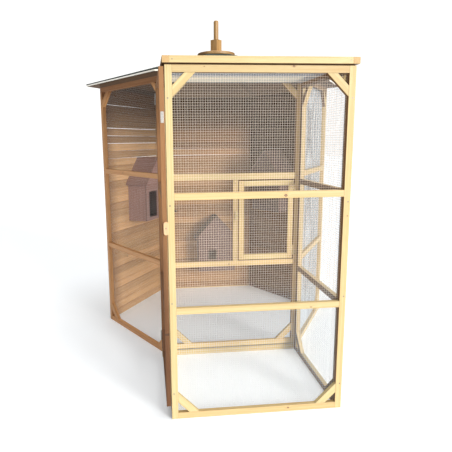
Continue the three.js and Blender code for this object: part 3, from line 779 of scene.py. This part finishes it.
def inner_door():
    """The walk-in door between the porch and the cage. Its mesh leaves the service door's bay open."""
    x0, y0, x1, y1 = SERVICE_BAY
    net = {"windows": [(x0 - 12, y0 - 12, x1 + 20, y1 + 12)], "thick": 0.5}
    panel(
        "inner_door", "inner_door", INNER_DOOR, INNER_WIDTH, INNER_RAILS, CAGE_PINE, net=net, split=1,
        right=MITRE, knots={1: (380, 15, 4)},
    )
    screw_piece(
        "inner_door_screws", "inner_door", (INNER_DOOR, (SCREW_IN, INNER_WIDTH - 20), (100, 660, 1262, 1860)),
        (INNER_DOOR, (sum(MULLION) / 2,), (700, 1215), -0.4),
    )


def service_door():
    x0, y0 = (edge + SERVICE_GAP for edge in SERVICE_BAY[:2])
    x1, y1 = (edge - SERVICE_GAP for edge in SERVICE_BAY[2:])
    panel(
        "service_door", "service_door", INNER_DOOR, x1 - x0, even((y0, y1 - TIMBER)), depth=SERVICE_DEPTH,
        x0=x0, net={"lap": 9, "thick": 0.5}, braces=False,
    )
    group = (INNER_DOOR, (x0 + SCREW_IN, x1 - SCREW_IN), (y0 + 14, y1 - 14), 0, 3.2)
    screw_piece("service_door_screws", "service_door", group)


def porch():
    """The front, the two side frames and the entrance door of the porch."""
    knots = {0: (617, 21, 5), 1: (731, 9, 3.5), 2: (577, 14, 7), 3: (603, 30, 5), "right": (1105, 22, 3)}
    rails = even((*PORCH_FEET, PORCH_TOP - TIMBER))
    net = {"thick": 1.0, "metal": SUNLIT_WARM_MESH}
    panel("porch_front", "aviary", PORCH_FACE, PORCH_WIDTH, rails, net=net, knots=knots)
    rails = even((*PORCH_FEET, WALL_TOP - TIMBER))
    panel("porch_right", "aviary", PORCH_RIGHT, SIDE_WIDTH, rails, net={"thick": 0.92, "metal": SHADED_SIDE_MESH})
    rails = [(0, DOOR_SILL), (WALL_TOP - TIMBER, TIMBER)]
    panel("porch_left", "aviary", PORCH_LEFT, SIDE_WIDTH, rails, braces=False)
    rails = even((DOOR_FOOT, *PORCH_FEET[1:], DOOR_TOP - TIMBER))
    panel("porch_door", "porch_door", PORCH_DOOR, DOOR_WIDTH, rails, SHADED_DOOR_PINE, DOOR_DEPTH, net={"lap": 12})

    middles = [foot + SCREW_IN for foot in PORCH_FEET[1:]]
    screw_piece(
        "porch_screws", "aviary", (PORCH_FACE, (13, PORCH_WIDTH - 13), (149, 662, 1180, 1707), 0, 4.2),
        (PORCH_RIGHT, (SCREW_IN, SIDE_WIDTH - SCREW_IN), (18, *middles, WALL_TOP - 18)),
        (PORCH_LEFT, (SIDE_WIDTH - SCREW_IN,), (30, 70)),
    )
    columns = (SCREW_IN, DOOR_WIDTH - SCREW_IN)
    group = (PORCH_DOOR, columns, (DOOR_FOOT + 18, *middles, DOOR_TOP - 18))
    screw_piece("porch_door_screws", "porch_door", group)


def posts():
    """The corner posts between the porch and the cage, and the sill below the inner door."""
    corner = SIDE / 2 + GAP / FLAT
    wall, outer, rear = PORCH_WIDTH / 2 + GAP, PORCH_WIDTH / 2, PORCH_REAR + GAP
    end, start = -APOTHEM + POST_REACH, DOOR_REAR + 5
    shape = [
        (-DOOR_FACE, start), (-wall, start), (-wall, rear), (-corner, rear),
        (-corner, -APOTHEM), (-corner - POST_REACH * MITRE, end), (-DOOR_FACE, end),
    ]
    work = Work()
    cut(work, LEVEL, shape, 0, POST_TOP, (-DOOR_FACE, start), "out")
    work.piece("porch_hinge_post_timber", PINE, "pine", "porch_hinge_post")
    shape = [(corner, rear), (outer, rear), (outer, -APOTHEM + (outer - corner) / MITRE), (corner, -APOTHEM)]
    work = Work()
    cut(work, LEVEL, shape, 0, POST_TOP, (corner, -APOTHEM), "out", 0.8)
    work.piece("corner_batten_timber", PINE, "pine", "corner_batten")
    work = Work()
    bar(work, cage_side(0), GAP, 0, SIDE - GAP, SILL, -DEPTH, 0, left=MITRE, right=MITRE)
    work.piece("sill_rail_timber", PINE, "pine", "sill_rail")


def porch_roof():
    """A level frame on the porch walls, with mesh under it."""
    half = PORCH_WIDTH / 2 + PORCH_ROOF_SIDE
    front = PORCH_FRONT - PORCH_ROOF_REACH
    top = WALL_TOP + PORCH_ROOF_DEPTH
    work = Work()
    for x in (-half, half - TIMBER):
        bar(work, LEVEL, x, front, x + TIMBER, PORCH_REAR, WALL_TOP, top, tone=0.15)
    for y in (front, PORCH_REAR - TIMBER):
        bar(work, LEVEL, -half + TIMBER + GAP, y, half - TIMBER - GAP, y + TIMBER, WALL_TOP, top)
    work.piece("porch_roof_timber", PINE, "pine", "porch_roof_frame")
    # A packing strip over the front frame, coloured dark as painted shadow in the gap
    work = Work()
    end = half - 18
    bar(work, LEVEL, -end, PORCH_FRONT + 9, end, PORCH_FRONT + 25, PORCH_TOP + GAP, WALL_TOP - GAP)
    work.piece("porch_roof_packing", SHADED_ROOF_WOOD, "pine")
    inner = PORCH_WIDTH / 2 - DEPTH - GAP - 1
    near = PORCH_FRONT + DEPTH + 2 * GAP + 3.5
    flat = Plane(0, 0, WALL_TOP - 0.1, (1, 0, 0), (0, 1, 0))
    work = Work()
    wire_sheet(work, flat, (-inner, near, inner, PORCH_REAR - 1), [(near, PORCH_REAR)], 0, thick=0.9)
    work.piece("porch_roof_wires", SHADED_ROOF_MESH, "wire_mesh", "porch_roof_net")
    face = upright(-half, front, 0)
    columns, rows = (-half + SCREW_IN, half - SCREW_IN), (front + SCREW_IN, PORCH_REAR - SCREW_IN)
    screw_piece(
        "porch_roof_screws", "aviary", (LEVEL, columns, rows, top),
        (face, (TIMBER + 14, 2 * half - TIMBER - 14), (WALL_TOP + 16,), 0, 3.2),
    )


cage_front("front_left", 5, SHADED_FRONT_LEFT_PINE, {"thick": 0.65}, {"left": (1176, 20, 4.5), 2: (300, 16, 3.5)})
cage_front("front_right", 1, CAGE_PINE, {"thick": 1.25, "metal": SUNLIT_COOL_MESH}, {"right": (900, 18, 4.0)})
inner_door()
service_door()
porch()
posts()
porch_roof()


# Boarded rear walls

# Joints that light comes through: wall number, joint, how wide at its two ends
SLITS = {
    4: {
        29: (0.6, 3.4), 27: (0.0, 1.2), 26: (2.6, 4.0), 25: (1.6, 2.8), 24: (2.6, 3.4), 23: (1.0, 0.4),
        22: (4.2, 1.4),
    },
    3: {22: (0.5, 4.2), 23: (0.4, 1.6), 19: (0.8, 2.2)},
}
CLOSED = (0.15, 0.15)
# How much paler than the rest the boards of a wall are
PALER = {4: 0.1}


def board_wall(name, number):
    """Battens on the outside, and level boards nailed to their inner faces."""
    plane = cage_side(number)
    feet = (*CAGE_FEET, CAGE_TOP - BATTEN)
    work = Work()
    timber_frame(
        work, plane, SIDE - 2 * GAP, even(feet, BATTEN), stile=BATTEN, depth=BATTEN_DEPTH, x0=GAP,
        braces=False, left=MITRE, right=MITRE,
    )
    work.piece(name + "_batten_timber", PINE, "pine", name + "_battens")
    work, heads = Work(), Work()
    count = int((CAGE_TOP - BOARD_FOOT) / BOARD_PITCH)
    z1, z0 = -BATTEN_DEPTH - GAP, -BATTEN_DEPTH - GAP - BOARD_DEPTH
    slits = SLITS.get(number, {})
    for k in range(count):
        low = BOARD_FOOT + k * BOARD_PITCH
        high = CAGE_TOP if k == count - 1 else low + BOARD_PITCH
        tone = rng.random() + PALER.get(number, 0.0)
        plank(work, plane, low, high, slits.get(k, CLOSED), slits.get(k + 1, CLOSED), z0, z1, tone)
        for x in (24, SIDE - 24):
            if rng.random() < 0.9:
                nail(heads, plane, x + rng.uniform(-4, 4), low + 30 + rng.uniform(-5, 5), 0, 1.9, 0.5)
    work.piece(name + "_planks", BOARDS[number], "wall_boards", name + "_boards")
    screws(heads, plane, (22, SIDE - 22), [foot + 22 for foot in feet])
    heads.piece(name + "_nails", SCREW_METAL, "hinge_steel")


def plank(work, plane, low, high, under, over, z0, z1, tone):
    """A board with a chamfer along each long edge and mitred ends, a little bent and pushed in or out."""
    chamfer, deep, steps = 3.2, 3.6, 7
    push = rng.uniform(-0.5, 0.2)
    sag = rng.uniform(-0.5, 0.5)
    z0, z1 = z0 + 0.3 + push * 0.4, z1 + push * 0.4 - 0.1
    bm = bmesh.new()
    loops = []
    for i in range(steps + 1):
        share = i / steps
        bend = sag * math.sin(math.pi * share)
        a = low + 0.5 * (under[0] + (under[1] - under[0]) * share) + bend * (low > BOARD_FOOT)
        b = high - 0.5 * (over[0] + (over[1] - over[0]) * share) + bend * (high < CAGE_TOP)
        profile = [
            (a + chamfer, z1), (a, z1 - deep), (a, z0 + deep), (a + chamfer, z0),
            (b - chamfer, z0), (b, z0 + deep), (b, z1 - deep), (b - chamfer, z1),
        ]
        loop = []
        for y, z in profile:
            left, right = GAP - z * MITRE, SIDE - GAP + z * MITRE
            loop.append(bm.verts.new(plane.at(left + share * (right - left), y, z)))
        loops.append(loop)
    skin(bm, loops)
    bm.faces.new(loops[0])
    bm.faces.new(loops[-1][::-1])
    work.take(bm, plane.at(0, low, z0), plane.right, plane.up, tone)


for wall_name, wall_number in (("back_right", 2), ("back", 3), ("back_left", 4)):
    board_wall(wall_name, wall_number)


# Roof

RUN = (EAVE_RADIUS - TOP_RADIUS) * FLAT
SLOPE_LENGTH = math.hypot(RUN, ROOF_RISE)
BOARDS_UP_SLOPE = 8
FELT_COURSES = ((-2.0, 285), (255, 545), (515, SLOPE_LENGTH + 6))
FELT_FOOT, FELT_STEP, FELT_THICK = 11.9, 0.9, 2.2
FELT_NAILS, STRIP_NAILS, NAIL_RADIUS = 13.9, 16.7, 4.2
HIP_STRIP = 62


def roof_plane(number):
    turn = Matrix.Rotation(number * SIXTH, 3, "Z")
    foot = turn @ Vector((0, -EAVE_RADIUS * FLAT, ROOF_FOOT))
    return Plane(foot.x, foot.y, foot.z, turn @ Vector((1, 0, 0)), turn @ Vector((0, RUN, ROOF_RISE)))


def half_width(s):
    """Half the width of a roof side at a distance up its slope."""
    return (EAVE_RADIUS - s * (EAVE_RADIUS - TOP_RADIUS) / SLOPE_LENGTH) / 2


def under_roof(radius):
    """How high the roof's underside is at a distance from its middle."""
    return ROOF_FOOT + (EAVE_RADIUS - radius) * (ROOF_RISE / (EAVE_RADIUS - TOP_RADIUS))


def roof_boards(plane, name):
    work = Work()
    stops = [SLOPE_LENGTH * i / BOARDS_UP_SLOPE for i in range(BOARDS_UP_SLOPE + 1)]
    for s0, s1 in zip(stops, stops[1:]):
        low, high = s0 + 0.4, s1 - 0.4
        w0, w1 = half_width(low) - 0.6, half_width(high) - 0.6
        outline = [(-w0, low), (w0, low), (w1, high), (-w1, high)]
        cut(work, plane, outline, 0.1, 11.3 + rng.uniform(-0.3, 0.1), (0, s0), round_by=0.8)
    work.piece(name + "_boards", SHADED_ROOF_WOOD, "roof_wood", name)


def hip_strip(felt, heads, plane, side):
    """Half of the felt strip on a hip, and its nails."""
    strip = []
    for s, off in ((-1.0, 0), (-1.0, HIP_STRIP), (SLOPE_LENGTH - 20, HIP_STRIP), (SLOPE_LENGTH - 20, 0)):
        strip.append((side * (half_width(s) - off / FLAT), s))
    cut(felt, plane, strip, 15.2, 16.8, (0, 0), "up", 0.5)
    s = 40
    while s < SLOPE_LENGTH - 60:
        nail(heads, plane, side * (half_width(s) - HIP_STRIP + 4), s, STRIP_NAILS, NAIL_RADIUS)
        s += rng.uniform(95, 115)


def roof():
    """Six sides of boards and felt, with a dark rim and a pale board edge at the eave."""
    felt, edges, trims, heads = Work(), Work(), Work(), Work()
    eave = half_width(0)
    for number in range(6):
        plane = roof_plane(number)
        roof_boards(plane, f"roof_panel_{number + 1}")
        for step, (s0, s1) in enumerate(FELT_COURSES):
            course(felt, plane, s0, s1, FELT_FOOT + FELT_STEP * step)
        cut(edges, plane, rectangle(-eave, -2.6, eave, -0.6), 10.3, 14.2, (0, 0), round_by=0.5)
        # The pale edge of the boards is a painted highlight
        bar(trims, plane, 0.8 - eave, -2.2, eave - 0.8, -0.2, 0.4, 10.0, round_by=0.4, tone=1.2)
        for side in (-1, 1):
            hip_strip(felt, heads, plane, side)
        x = -eave + 60
        while x < eave - 40:
            nail(heads, plane, x, 22 + rng.uniform(-4, 4), FELT_NAILS, NAIL_RADIUS)
            x += rng.uniform(85, 110)
    cut(felt, LEVEL, circle(TOP_RADIUS * 1.12, 6), FELT_TOP - 2.4, FELT_TOP + 0.1, (0, 0), round_by=0.6)
    felt.piece("roof_felt_courses", FELT, "green_felt", "roof_felt")
    edges.piece("roof_felt_rim", FELT_EDGE, "green_felt")
    trims.piece("roof_board_edges", LIT_EDGE_PINE, "roof_wood")
    heads.piece("roof_nails", SCREW_METAL, "hinge_steel")


def around(grid):
    """The points round the edge of a grid of rows."""
    return grid[0] + [row[-1] for row in grid[1:]] + grid[-1][-2::-1] + [row[0] for row in grid[-2:0:-1]]


def course(work, plane, s0, s1, lift):
    """One strip of felt across a roof side, a little uneven, on the strip below it."""
    bm = bmesh.new()
    columns = 14
    seed = rng.uniform(0, 99)
    grid = []
    for j, s in enumerate((s0, s0 + 30, (s0 + s1) / 2, s1 - 30, s1)):
        row = []
        for i in range(columns + 1):
            w = (half_width(max(s, 0)) - 0.4) * (2 * i / columns - 1)
            rise = lift + (0.8 if j == 0 and s0 > 0 else 0.0) - (0.9 if j > 3 else 0.0)
            wave = 0.35 * noise.noise(Vector((w / 150, s / 130, seed)))
            row.append((w, s, rise + wave))
        grid.append(row)
    tops = [[bm.verts.new(plane.at(w, s, rise + FELT_THICK)) for w, s, rise in row] for row in grid]
    lows = [[bm.verts.new(plane.at(*point)) for point in row] for row in grid]
    for sheet, way in ((tops, 1), (lows, -1)):
        for r0, r1 in zip(sheet, sheet[1:]):
            for corners in zip(r0, r0[1:], r1[1:], r1):
                bm.faces.new(corners[::way])
    rim_top, rim_low = around(tops), around(lows)
    for a, b, c, d in zip(rim_top, rim_top[1:] + rim_top[:1], rim_low[1:] + rim_low[:1], rim_low):
        bm.faces.new((a, d, c, b))
    work.take(bm, plane.at(0, s0), plane.right, plane.up, smooth=True)


def eave_plate():
    """Six mitred rails that the roof boards lie on."""
    inner = SIDE - DEPTH / FLAT
    foot, shift = CAGE_TOP + GAP, Vector((0, SHIFT, 0))
    profile = ((inner, foot), (SIDE, foot), (SIDE, under_roof(SIDE) - 0.4), (inner, under_roof(inner) - 0.4))
    work = Work()
    for number in range(6):
        turn = Matrix.Rotation(number * SIXTH, 3, "Z")
        ends = []
        for hand in (-1, 1):
            corners = [turn @ Vector((hand * (radius / 2 - GAP), -radius * FLAT, z)) for radius, z in profile]
            ends.append([(corner + shift) * MM for corner in corners])
        work.take(prism(ends, 0.8), Vector((0, 0, 0)), turn @ Vector((1, 0, 0)), UP)
    work.piece("eave_plate_rails", SHADED_ROOF_WOOD, "roof_wood", "eave_plate")


def rafters():
    """A rafter under each hip, the block that they meet at, and the board that closes the top."""
    half, thick_head, thick_foot = 13, 46.6, 39.6
    foot, head, top = SIDE - DEPTH / FLAT, 58, under_roof(TOP_RADIUS)
    at_foot, at_head = under_roof(foot - 3) - 3.4, top - 3.4
    profile = (
        (foot - 3, at_foot), (head, at_head), (head, at_head - thick_head), (foot - 3, at_foot - thick_foot),
    )
    work = Work()
    for number in range(6):
        angle = number * SIXTH
        way = Vector((math.cos(angle), math.sin(angle), 0))
        across = Vector((-way.y, way.x, 0))
        ends = [
            [(way * radius + across * side + Vector((0, SHIFT, z))) * MM for radius, z in profile]
            for side in (-half, half)
        ]
        work.take(prism(ends, 1.0), Vector((0, 0, 0)), (way * -RUN + UP * ROOF_RISE).normalized(), across)
    cut(work, LEVEL, circle(57, 6, SIXTH / 2), top - 62, top - 0.5, (0, 0), "out", 1.5)
    cut(work, LEVEL, circle(148, 6), top, top + 11.5, (0, 0), round_by=0.8)
    work.piece("roof_rafters", SHADED_ROOF_WOOD, "roof_wood")


def finial():
    """The round cap at the peak, with a square block and a dowel with a rounded end on it."""
    foot = FELT_TOP + 0.3
    cap_thick, block_half, block_high = 24, 32, 103
    work = Work()
    cap = (
        (1.0, 0), (143, 0), (147, 0.8), (149.4, 4), (150, 8), (150, 15), (149, 19.5), (146, 22.6),
        (141, cap_thick), (1.0, cap_thick),
    )
    turned(work, LEVEL, 0, 0, 0, [(radius, foot + z) for radius, z in cap], sides=96)
    work.piece("cap_disc_turned", FINIAL_WOOD, "finial_wood", "cap_disc")
    foot += cap_thick + GAP
    work = Work()
    half = math.sqrt(0.5)
    corner = Plane(0, 0, 0, (half, half, 0), (-half, half, 0))
    square = rectangle(-block_half, -block_half, block_half, block_half)
    cut(work, corner, square, foot, foot + block_high, square[0], "out", 3.2, segments=3)
    work.piece("finial_block_timber", FINIAL_WOOD, "finial_wood", "finial_block")
    foot += block_high + GAP
    work = Work()
    dowel = (
        (1.0, 0), (17.6, 0), (18.7, 1.2), (19, 3), (19, 133), (18.2, 138), (16, 142), (12, 144.2), (6, 145),
        (1.0, 145),
    )
    turned(work, LEVEL, 0, 0, 0, [(radius, foot + z) for radius, z in dowel], sides=40, grain="out")
    work.piece("finial_dowel_turned", FINIAL_WOOD, "finial_wood", "finial_dowel")


roof()
eave_plate()
rafters()
finial()


# Nest boxes

NEST_WIDTH, NEST_EAVE, NEST_TOP, NEST_DEPTH, NEST_BOARD = 358, 347, 541, 180, 12
NEST_PITCH = (NEST_TOP - NEST_EAVE) / (NEST_WIDTH / 2)
NEST_SIDE_REACH, NEST_FRONT_REACH = 30, 22


def nest(name, number, along, height, tone, roof_shading, way_in=(181, 117, 261, 217)):
    """A house-shaped box: gable front with a square way in, sides, floor, back and boarded roof."""
    side = cage_side(number)
    plane = moved(side.origin + side.right * along + UP * height, side.right)
    back = -(BATTEN_DEPTH + GAP + BOARD_DEPTH) - GAP
    front = back - NEST_DEPTH
    board, middle = NEST_BOARD, NEST_WIDTH / 2
    work = Work()
    gable = [(0, 0), (NEST_WIDTH, 0), (NEST_WIDTH, NEST_EAVE), (middle, NEST_TOP), (0, NEST_EAVE)]
    hole = rectangle(*way_in)
    cut(work, plane, gable, front, front + board, (0, 0, front), round_by=1.0, hole=hole, tone=tone)
    inset = front + board + 0.2
    low, high = NEST_EAVE - 0.4, NEST_EAVE - 0.4 + NEST_PITCH * board
    for x, left_y, right_y in ((0, low, high), (NEST_WIDTH - board, high, low)):
        outline = [(x, 0), (x + board, 0), (x + board, right_y), (x, left_y)]
        work.take(slab(plane, outline, inset, back, 0.9), plane.at(x, 0, back), plane.up, plane.out, tone)
    bar(work, plane, board + 0.2, 0, NEST_WIDTH - board - 0.2, board, inset, back)
    in0, in1 = board + 0.3, NEST_WIDTH - board - 0.3
    inner = [(in0, in0), (in1, in0), (in1, NEST_EAVE - 3), (middle, NEST_TOP - 16), (in0, NEST_EAVE - 3)]
    cut(work, plane, inner, back - 3, back - 0.2, (0, 0, back), round_by=0.3)
    work.piece(f"nest_{name}_box", NEST_WOOD, "nest_wood", f"nest_{name}_body")

    work = Work()
    half = middle + NEST_SIDE_REACH
    stops = [math.hypot(half, half * NEST_PITCH) * i / 3 for i in range(4)]
    for hand in (-1, 1):
        foot = side.right * (middle + hand * half) + UP * (NEST_EAVE - NEST_SIDE_REACH * NEST_PITCH)
        slope = (side.right * -hand + UP * NEST_PITCH).normalized()
        face = moved(plane.origin + foot, side.out * -hand, slope)
        x0, x1 = (front - NEST_FRONT_REACH, back) if hand < 0 else (-back, -front + NEST_FRONT_REACH)
        for s0, s1 in zip(stops, stops[1:]):
            outline = rectangle(x0, s0 + 0.3, x1, s1 - 0.3)
            cut(work, face, outline, 0.5, 13.4, (x0, s0), round_by=1.3, tone=roof_shading)
    work.piece(f"nest_{name}_roof_boards", NEST_WOOD, "nest_wood", f"nest_{name}_roof")
    heads = Work()
    seen = moved(plane.origin + plane.right * NEST_WIDTH + plane.out * front, -plane.right)
    for x in (NEST_WIDTH - 6, 6):
        for y in (30, 170, 310):
            nail(heads, seen, x, y, 0, 1.8, 0.4)
    heads.piece(f"nest_{name}_nails", DARK_METAL, "dark_metal")


# The last two numbers brighten or darken each box and its roof: painted light and shade
nest("back", 3, 203, 227, -0.9, -2.3)
nest("back_left", 4, 272, 815, 1.6, 1.0, (170, 30, 308, 255))
nest("back_right", 2, 306, 862, -1.8, -2.0)


# Fittings

LATCH_HEIGHT, BUTTON_HEIGHT, PLATE_FOOT, BOLT_HEIGHT = 997.5, 1066.5, 1590, 1040


def turn_bar(name, pine, plane, x, y, size, round_by, head_radius, tone=None):
    """A wooden bar with round ends, and the screw that it turns on."""
    width, length, thick = size
    radius, straight, count = width / 2, (length - width) / 2, 8
    outline = []
    for start, middle in ((0, y + straight), (math.pi, y - straight)):
        angles = [start + math.pi * i / count for i in range(count + 1)]
        outline += [(x + radius * math.cos(a), middle + radius * math.sin(a)) for a in angles]
    work = Work()
    cut(work, plane, outline, GAP, GAP + thick, (x, y), "up", round_by, segments=3, tone=tone)
    work.piece(name + "_bar", pine, "pine", name, body=name)
    screw_piece(name + "_screw", name, (plane, (x,), (y,), GAP + thick, head_radius))


def door_plate():
    work = Work()
    foot, top, half, cut_off = PLATE_FOOT, PLATE_FOOT + 54, 8, 2
    low, high, inner = foot + cut_off, top - cut_off, half - cut_off
    plate = [(-half, low), (-inner, foot), (inner, foot), (half, low)]
    plate += [(half, high), (inner, top), (-inner, top), (-half, high)]
    cut(work, DOOR_EDGE, plate, GAP, GAP + 2, (0, foot), "up", 0.5)
    screws(work, DOOR_EDGE, (0,), (foot + 10, top - 10), GAP + 2, 2.8)
    work.piece("porch_door_plate_metal", HINGE_METAL, "hinge_steel", "porch_door_plate", body="porch_door")


def bolt():
    """A plate with three keepers on it, the bolt through them, and the bolt's knob."""
    work = Work()
    parts = [(3, 63, 6, 0, 1.6, 0.4, 2, 6)]
    parts += [(x, x + 7, 4.5, 1.5, 7.6, 1.6, 2, 5) for x in (8, 24, 48)]
    parts += [(3.5, 60, 2.6, 1.8, 6.4, 1.6, 3, 3)]
    for x0, x1, half, low, high, round_by, segments, below in parts:
        outline = rectangle(x0, BOLT_HEIGHT - half, x1, BOLT_HEIGHT + half)
        start = (math.floor(x0), BOLT_HEIGHT - below)
        cut(work, INNER_DOOR, outline, GAP + low, GAP + high, start, "up", round_by, segments=segments)
    knob = rectangle(36, BOLT_HEIGHT - 5, 41, BOLT_HEIGHT + 5.5)
    cut(work, INNER_DOOR, knob, GAP + 3, GAP + 8, knob[0], "up", 1.8, segments=3)
    work.piece("inner_door_bolt_parts", DARK_METAL, "dark_metal", "inner_door_bolt", body="inner_door")


def hinge_screws(name, plane, axis, low, high, door_side, wall_side, door_body, wall_body):
    """Two screws in each leaf of two hinges; a side is how far from the axis they are."""
    door, wall = Work(), Work()
    for height in (low, high):
        for work, side, lift in ((door, door_side, 17.5), (wall, wall_side, -17.5)):
            rows = (height + lift - 10, height + lift + 10)
            screws(work, plane, (axis + side,), rows, 2.3, 2.6)
    door.piece(name + "_leaf_screws", SCREW_METAL, "hinge_steel", body=door_body)
    wall.piece(name + "_fixed_screws", SCREW_METAL, "hinge_steel", body=wall_body)


turn_bar("service_latch", PINE, INNER_DOOR, MULLION[1] - 10, LATCH_HEIGHT, (20, 61, 12), 2.0, 3.6)
turn_bar("porch_button", BUTTON_PINE, DOOR_EDGE, 6, BUTTON_HEIGHT, (25, 69, 14), 2.2, 3.8, 1.0)
door_plate()
bolt()
hinge_screws("porch_hinge", PORCH_DOOR, 0, DOOR_FOOT + 90, DOOR_TOP - 90, 13, -19, "porch_door", "aviary")
hinge_screws(
    "service_hinge", INNER_DOOR, SERVICE_BAY[2] - SERVICE_GAP / 2, SERVICE_BAY[1] + SERVICE_GAP + 60,
    SERVICE_BAY[3] - SERVICE_GAP - 60, -13, 13, "service_door", "inner_door",
)

for node_name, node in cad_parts.items():
    if "hinge" in node_name and not node.hide_render:
        node.data.materials.clear()
        node.data.materials.append(BRASS if "service" in node_name else HINGE_METAL)


# Floor, light, camera


def floor():
    half_size, sunk = 40, 0.0005
    n = Nodes("floor", roughness=0.85)
    cloud = n.noise(n.place(), 0.7, 3.0)
    n.finish(n.mix(cloud, (0.85, 0.88, 0.905), (0.89, 0.92, 0.945)))
    n.shader.inputs["Emission Color"].default_value = (0.95, 0.975, 0.99, 1.0)
    n.shader.inputs["Emission Strength"].default_value = 0.21
    bm = bmesh.new()
    bmesh.ops.create_grid(bm, x_segments=4, y_segments=4, size=half_size)
    mesh = bpy.data.meshes.new("floor")
    bm.to_mesh(mesh)
    bm.free()
    mesh.materials.append(n.material)
    ground = new_object("floor", mesh)
    ground.location.z = -sunk


def sun(name, towards, power, wide, colour):
    data = bpy.data.lights.new(name, "SUN")
    data.angle = math.radians(wide)
    data.energy = power
    data.color = colour
    light = new_object(name, data)
    light.rotation_euler = Vector(towards).to_track_quat("Z", "Y").to_euler()
    light.location = Vector(towards) * 8


def studio():
    """White behind the object, and a softer white that lights it, mostly from above."""
    fill_low, fill_high = 0.03, 0.36
    world = bpy.data.worlds.new("studio")
    bpy.context.scene.world = world
    world.use_nodes = True
    tree = world.node_tree
    backdrop = tree.nodes["Background"]
    backdrop.inputs["Color"].default_value = (1.0, 1.0, 0.995, 1)
    backdrop.inputs["Strength"].default_value = 1.12
    way = add_node(tree, "ShaderNodeTexCoord").outputs["Generated"]
    height = add_node(tree, "ShaderNodeSeparateXYZ", {0: way}).outputs["Z"]
    ranges = {0: height, 1: 0.0, 2: 0.8, 3: fill_low, 4: fill_high}
    level = add_node(tree, "ShaderNodeMapRange", ranges).outputs[0]
    fill = add_node(tree, "ShaderNodeBackground", {"Color": (1.0, 1.0, 1.0, 1), "Strength": level}).outputs[0]
    seen = add_node(tree, "ShaderNodeLightPath").outputs["Is Camera Ray"]
    choice = add_node(tree, "ShaderNodeMixShader", {0: seen, 1: fill, 2: backdrop.outputs[0]}).outputs[0]
    tree.links.new(choice, tree.nodes["World Output"].inputs["Surface"])


floor()
sun("key", (0.53, -0.81, 0.21), 3.8, 18, (1.0, 0.985, 0.955))
sun("top", (0.10, -0.05, 1.0), 2.0, 50, (1.0, 1.0, 1.0))
studio()


def camera():
    yaw, pitch, roll = 0.10730425, 0.18688793, 0.01002130
    focal_px, centre_x, centre_y, width_px = 484.12573, 200.61899, 232.36371, 452
    ahead = Vector((math.sin(yaw) * math.cos(pitch), math.cos(yaw) * math.cos(pitch), -math.sin(pitch)))
    right = Vector((math.cos(yaw), -math.sin(yaw), 0))
    up = right.cross(ahead)
    side = right * math.cos(roll) - up * math.sin(roll)
    top = right * math.sin(roll) + up * math.cos(roll)
    data = bpy.data.cameras.new("camera")
    data.sensor_width = 36
    data.lens = 36 * focal_px / width_px
    data.shift_x = (width_px / 2 - centre_x) / width_px
    data.shift_y = (centre_y - width_px / 2) / width_px
    thing = new_object("camera", data)
    place = Vector((-0.57445, -3.67380, 1.50191))
    turn = Matrix((side, top, -ahead)).transposed().to_4x4()
    thing.matrix_world = Matrix.Translation(place) @ turn
    bpy.context.scene.camera = thing


camera()
bpy.context.scene.view_settings.view_transform = "Standard"
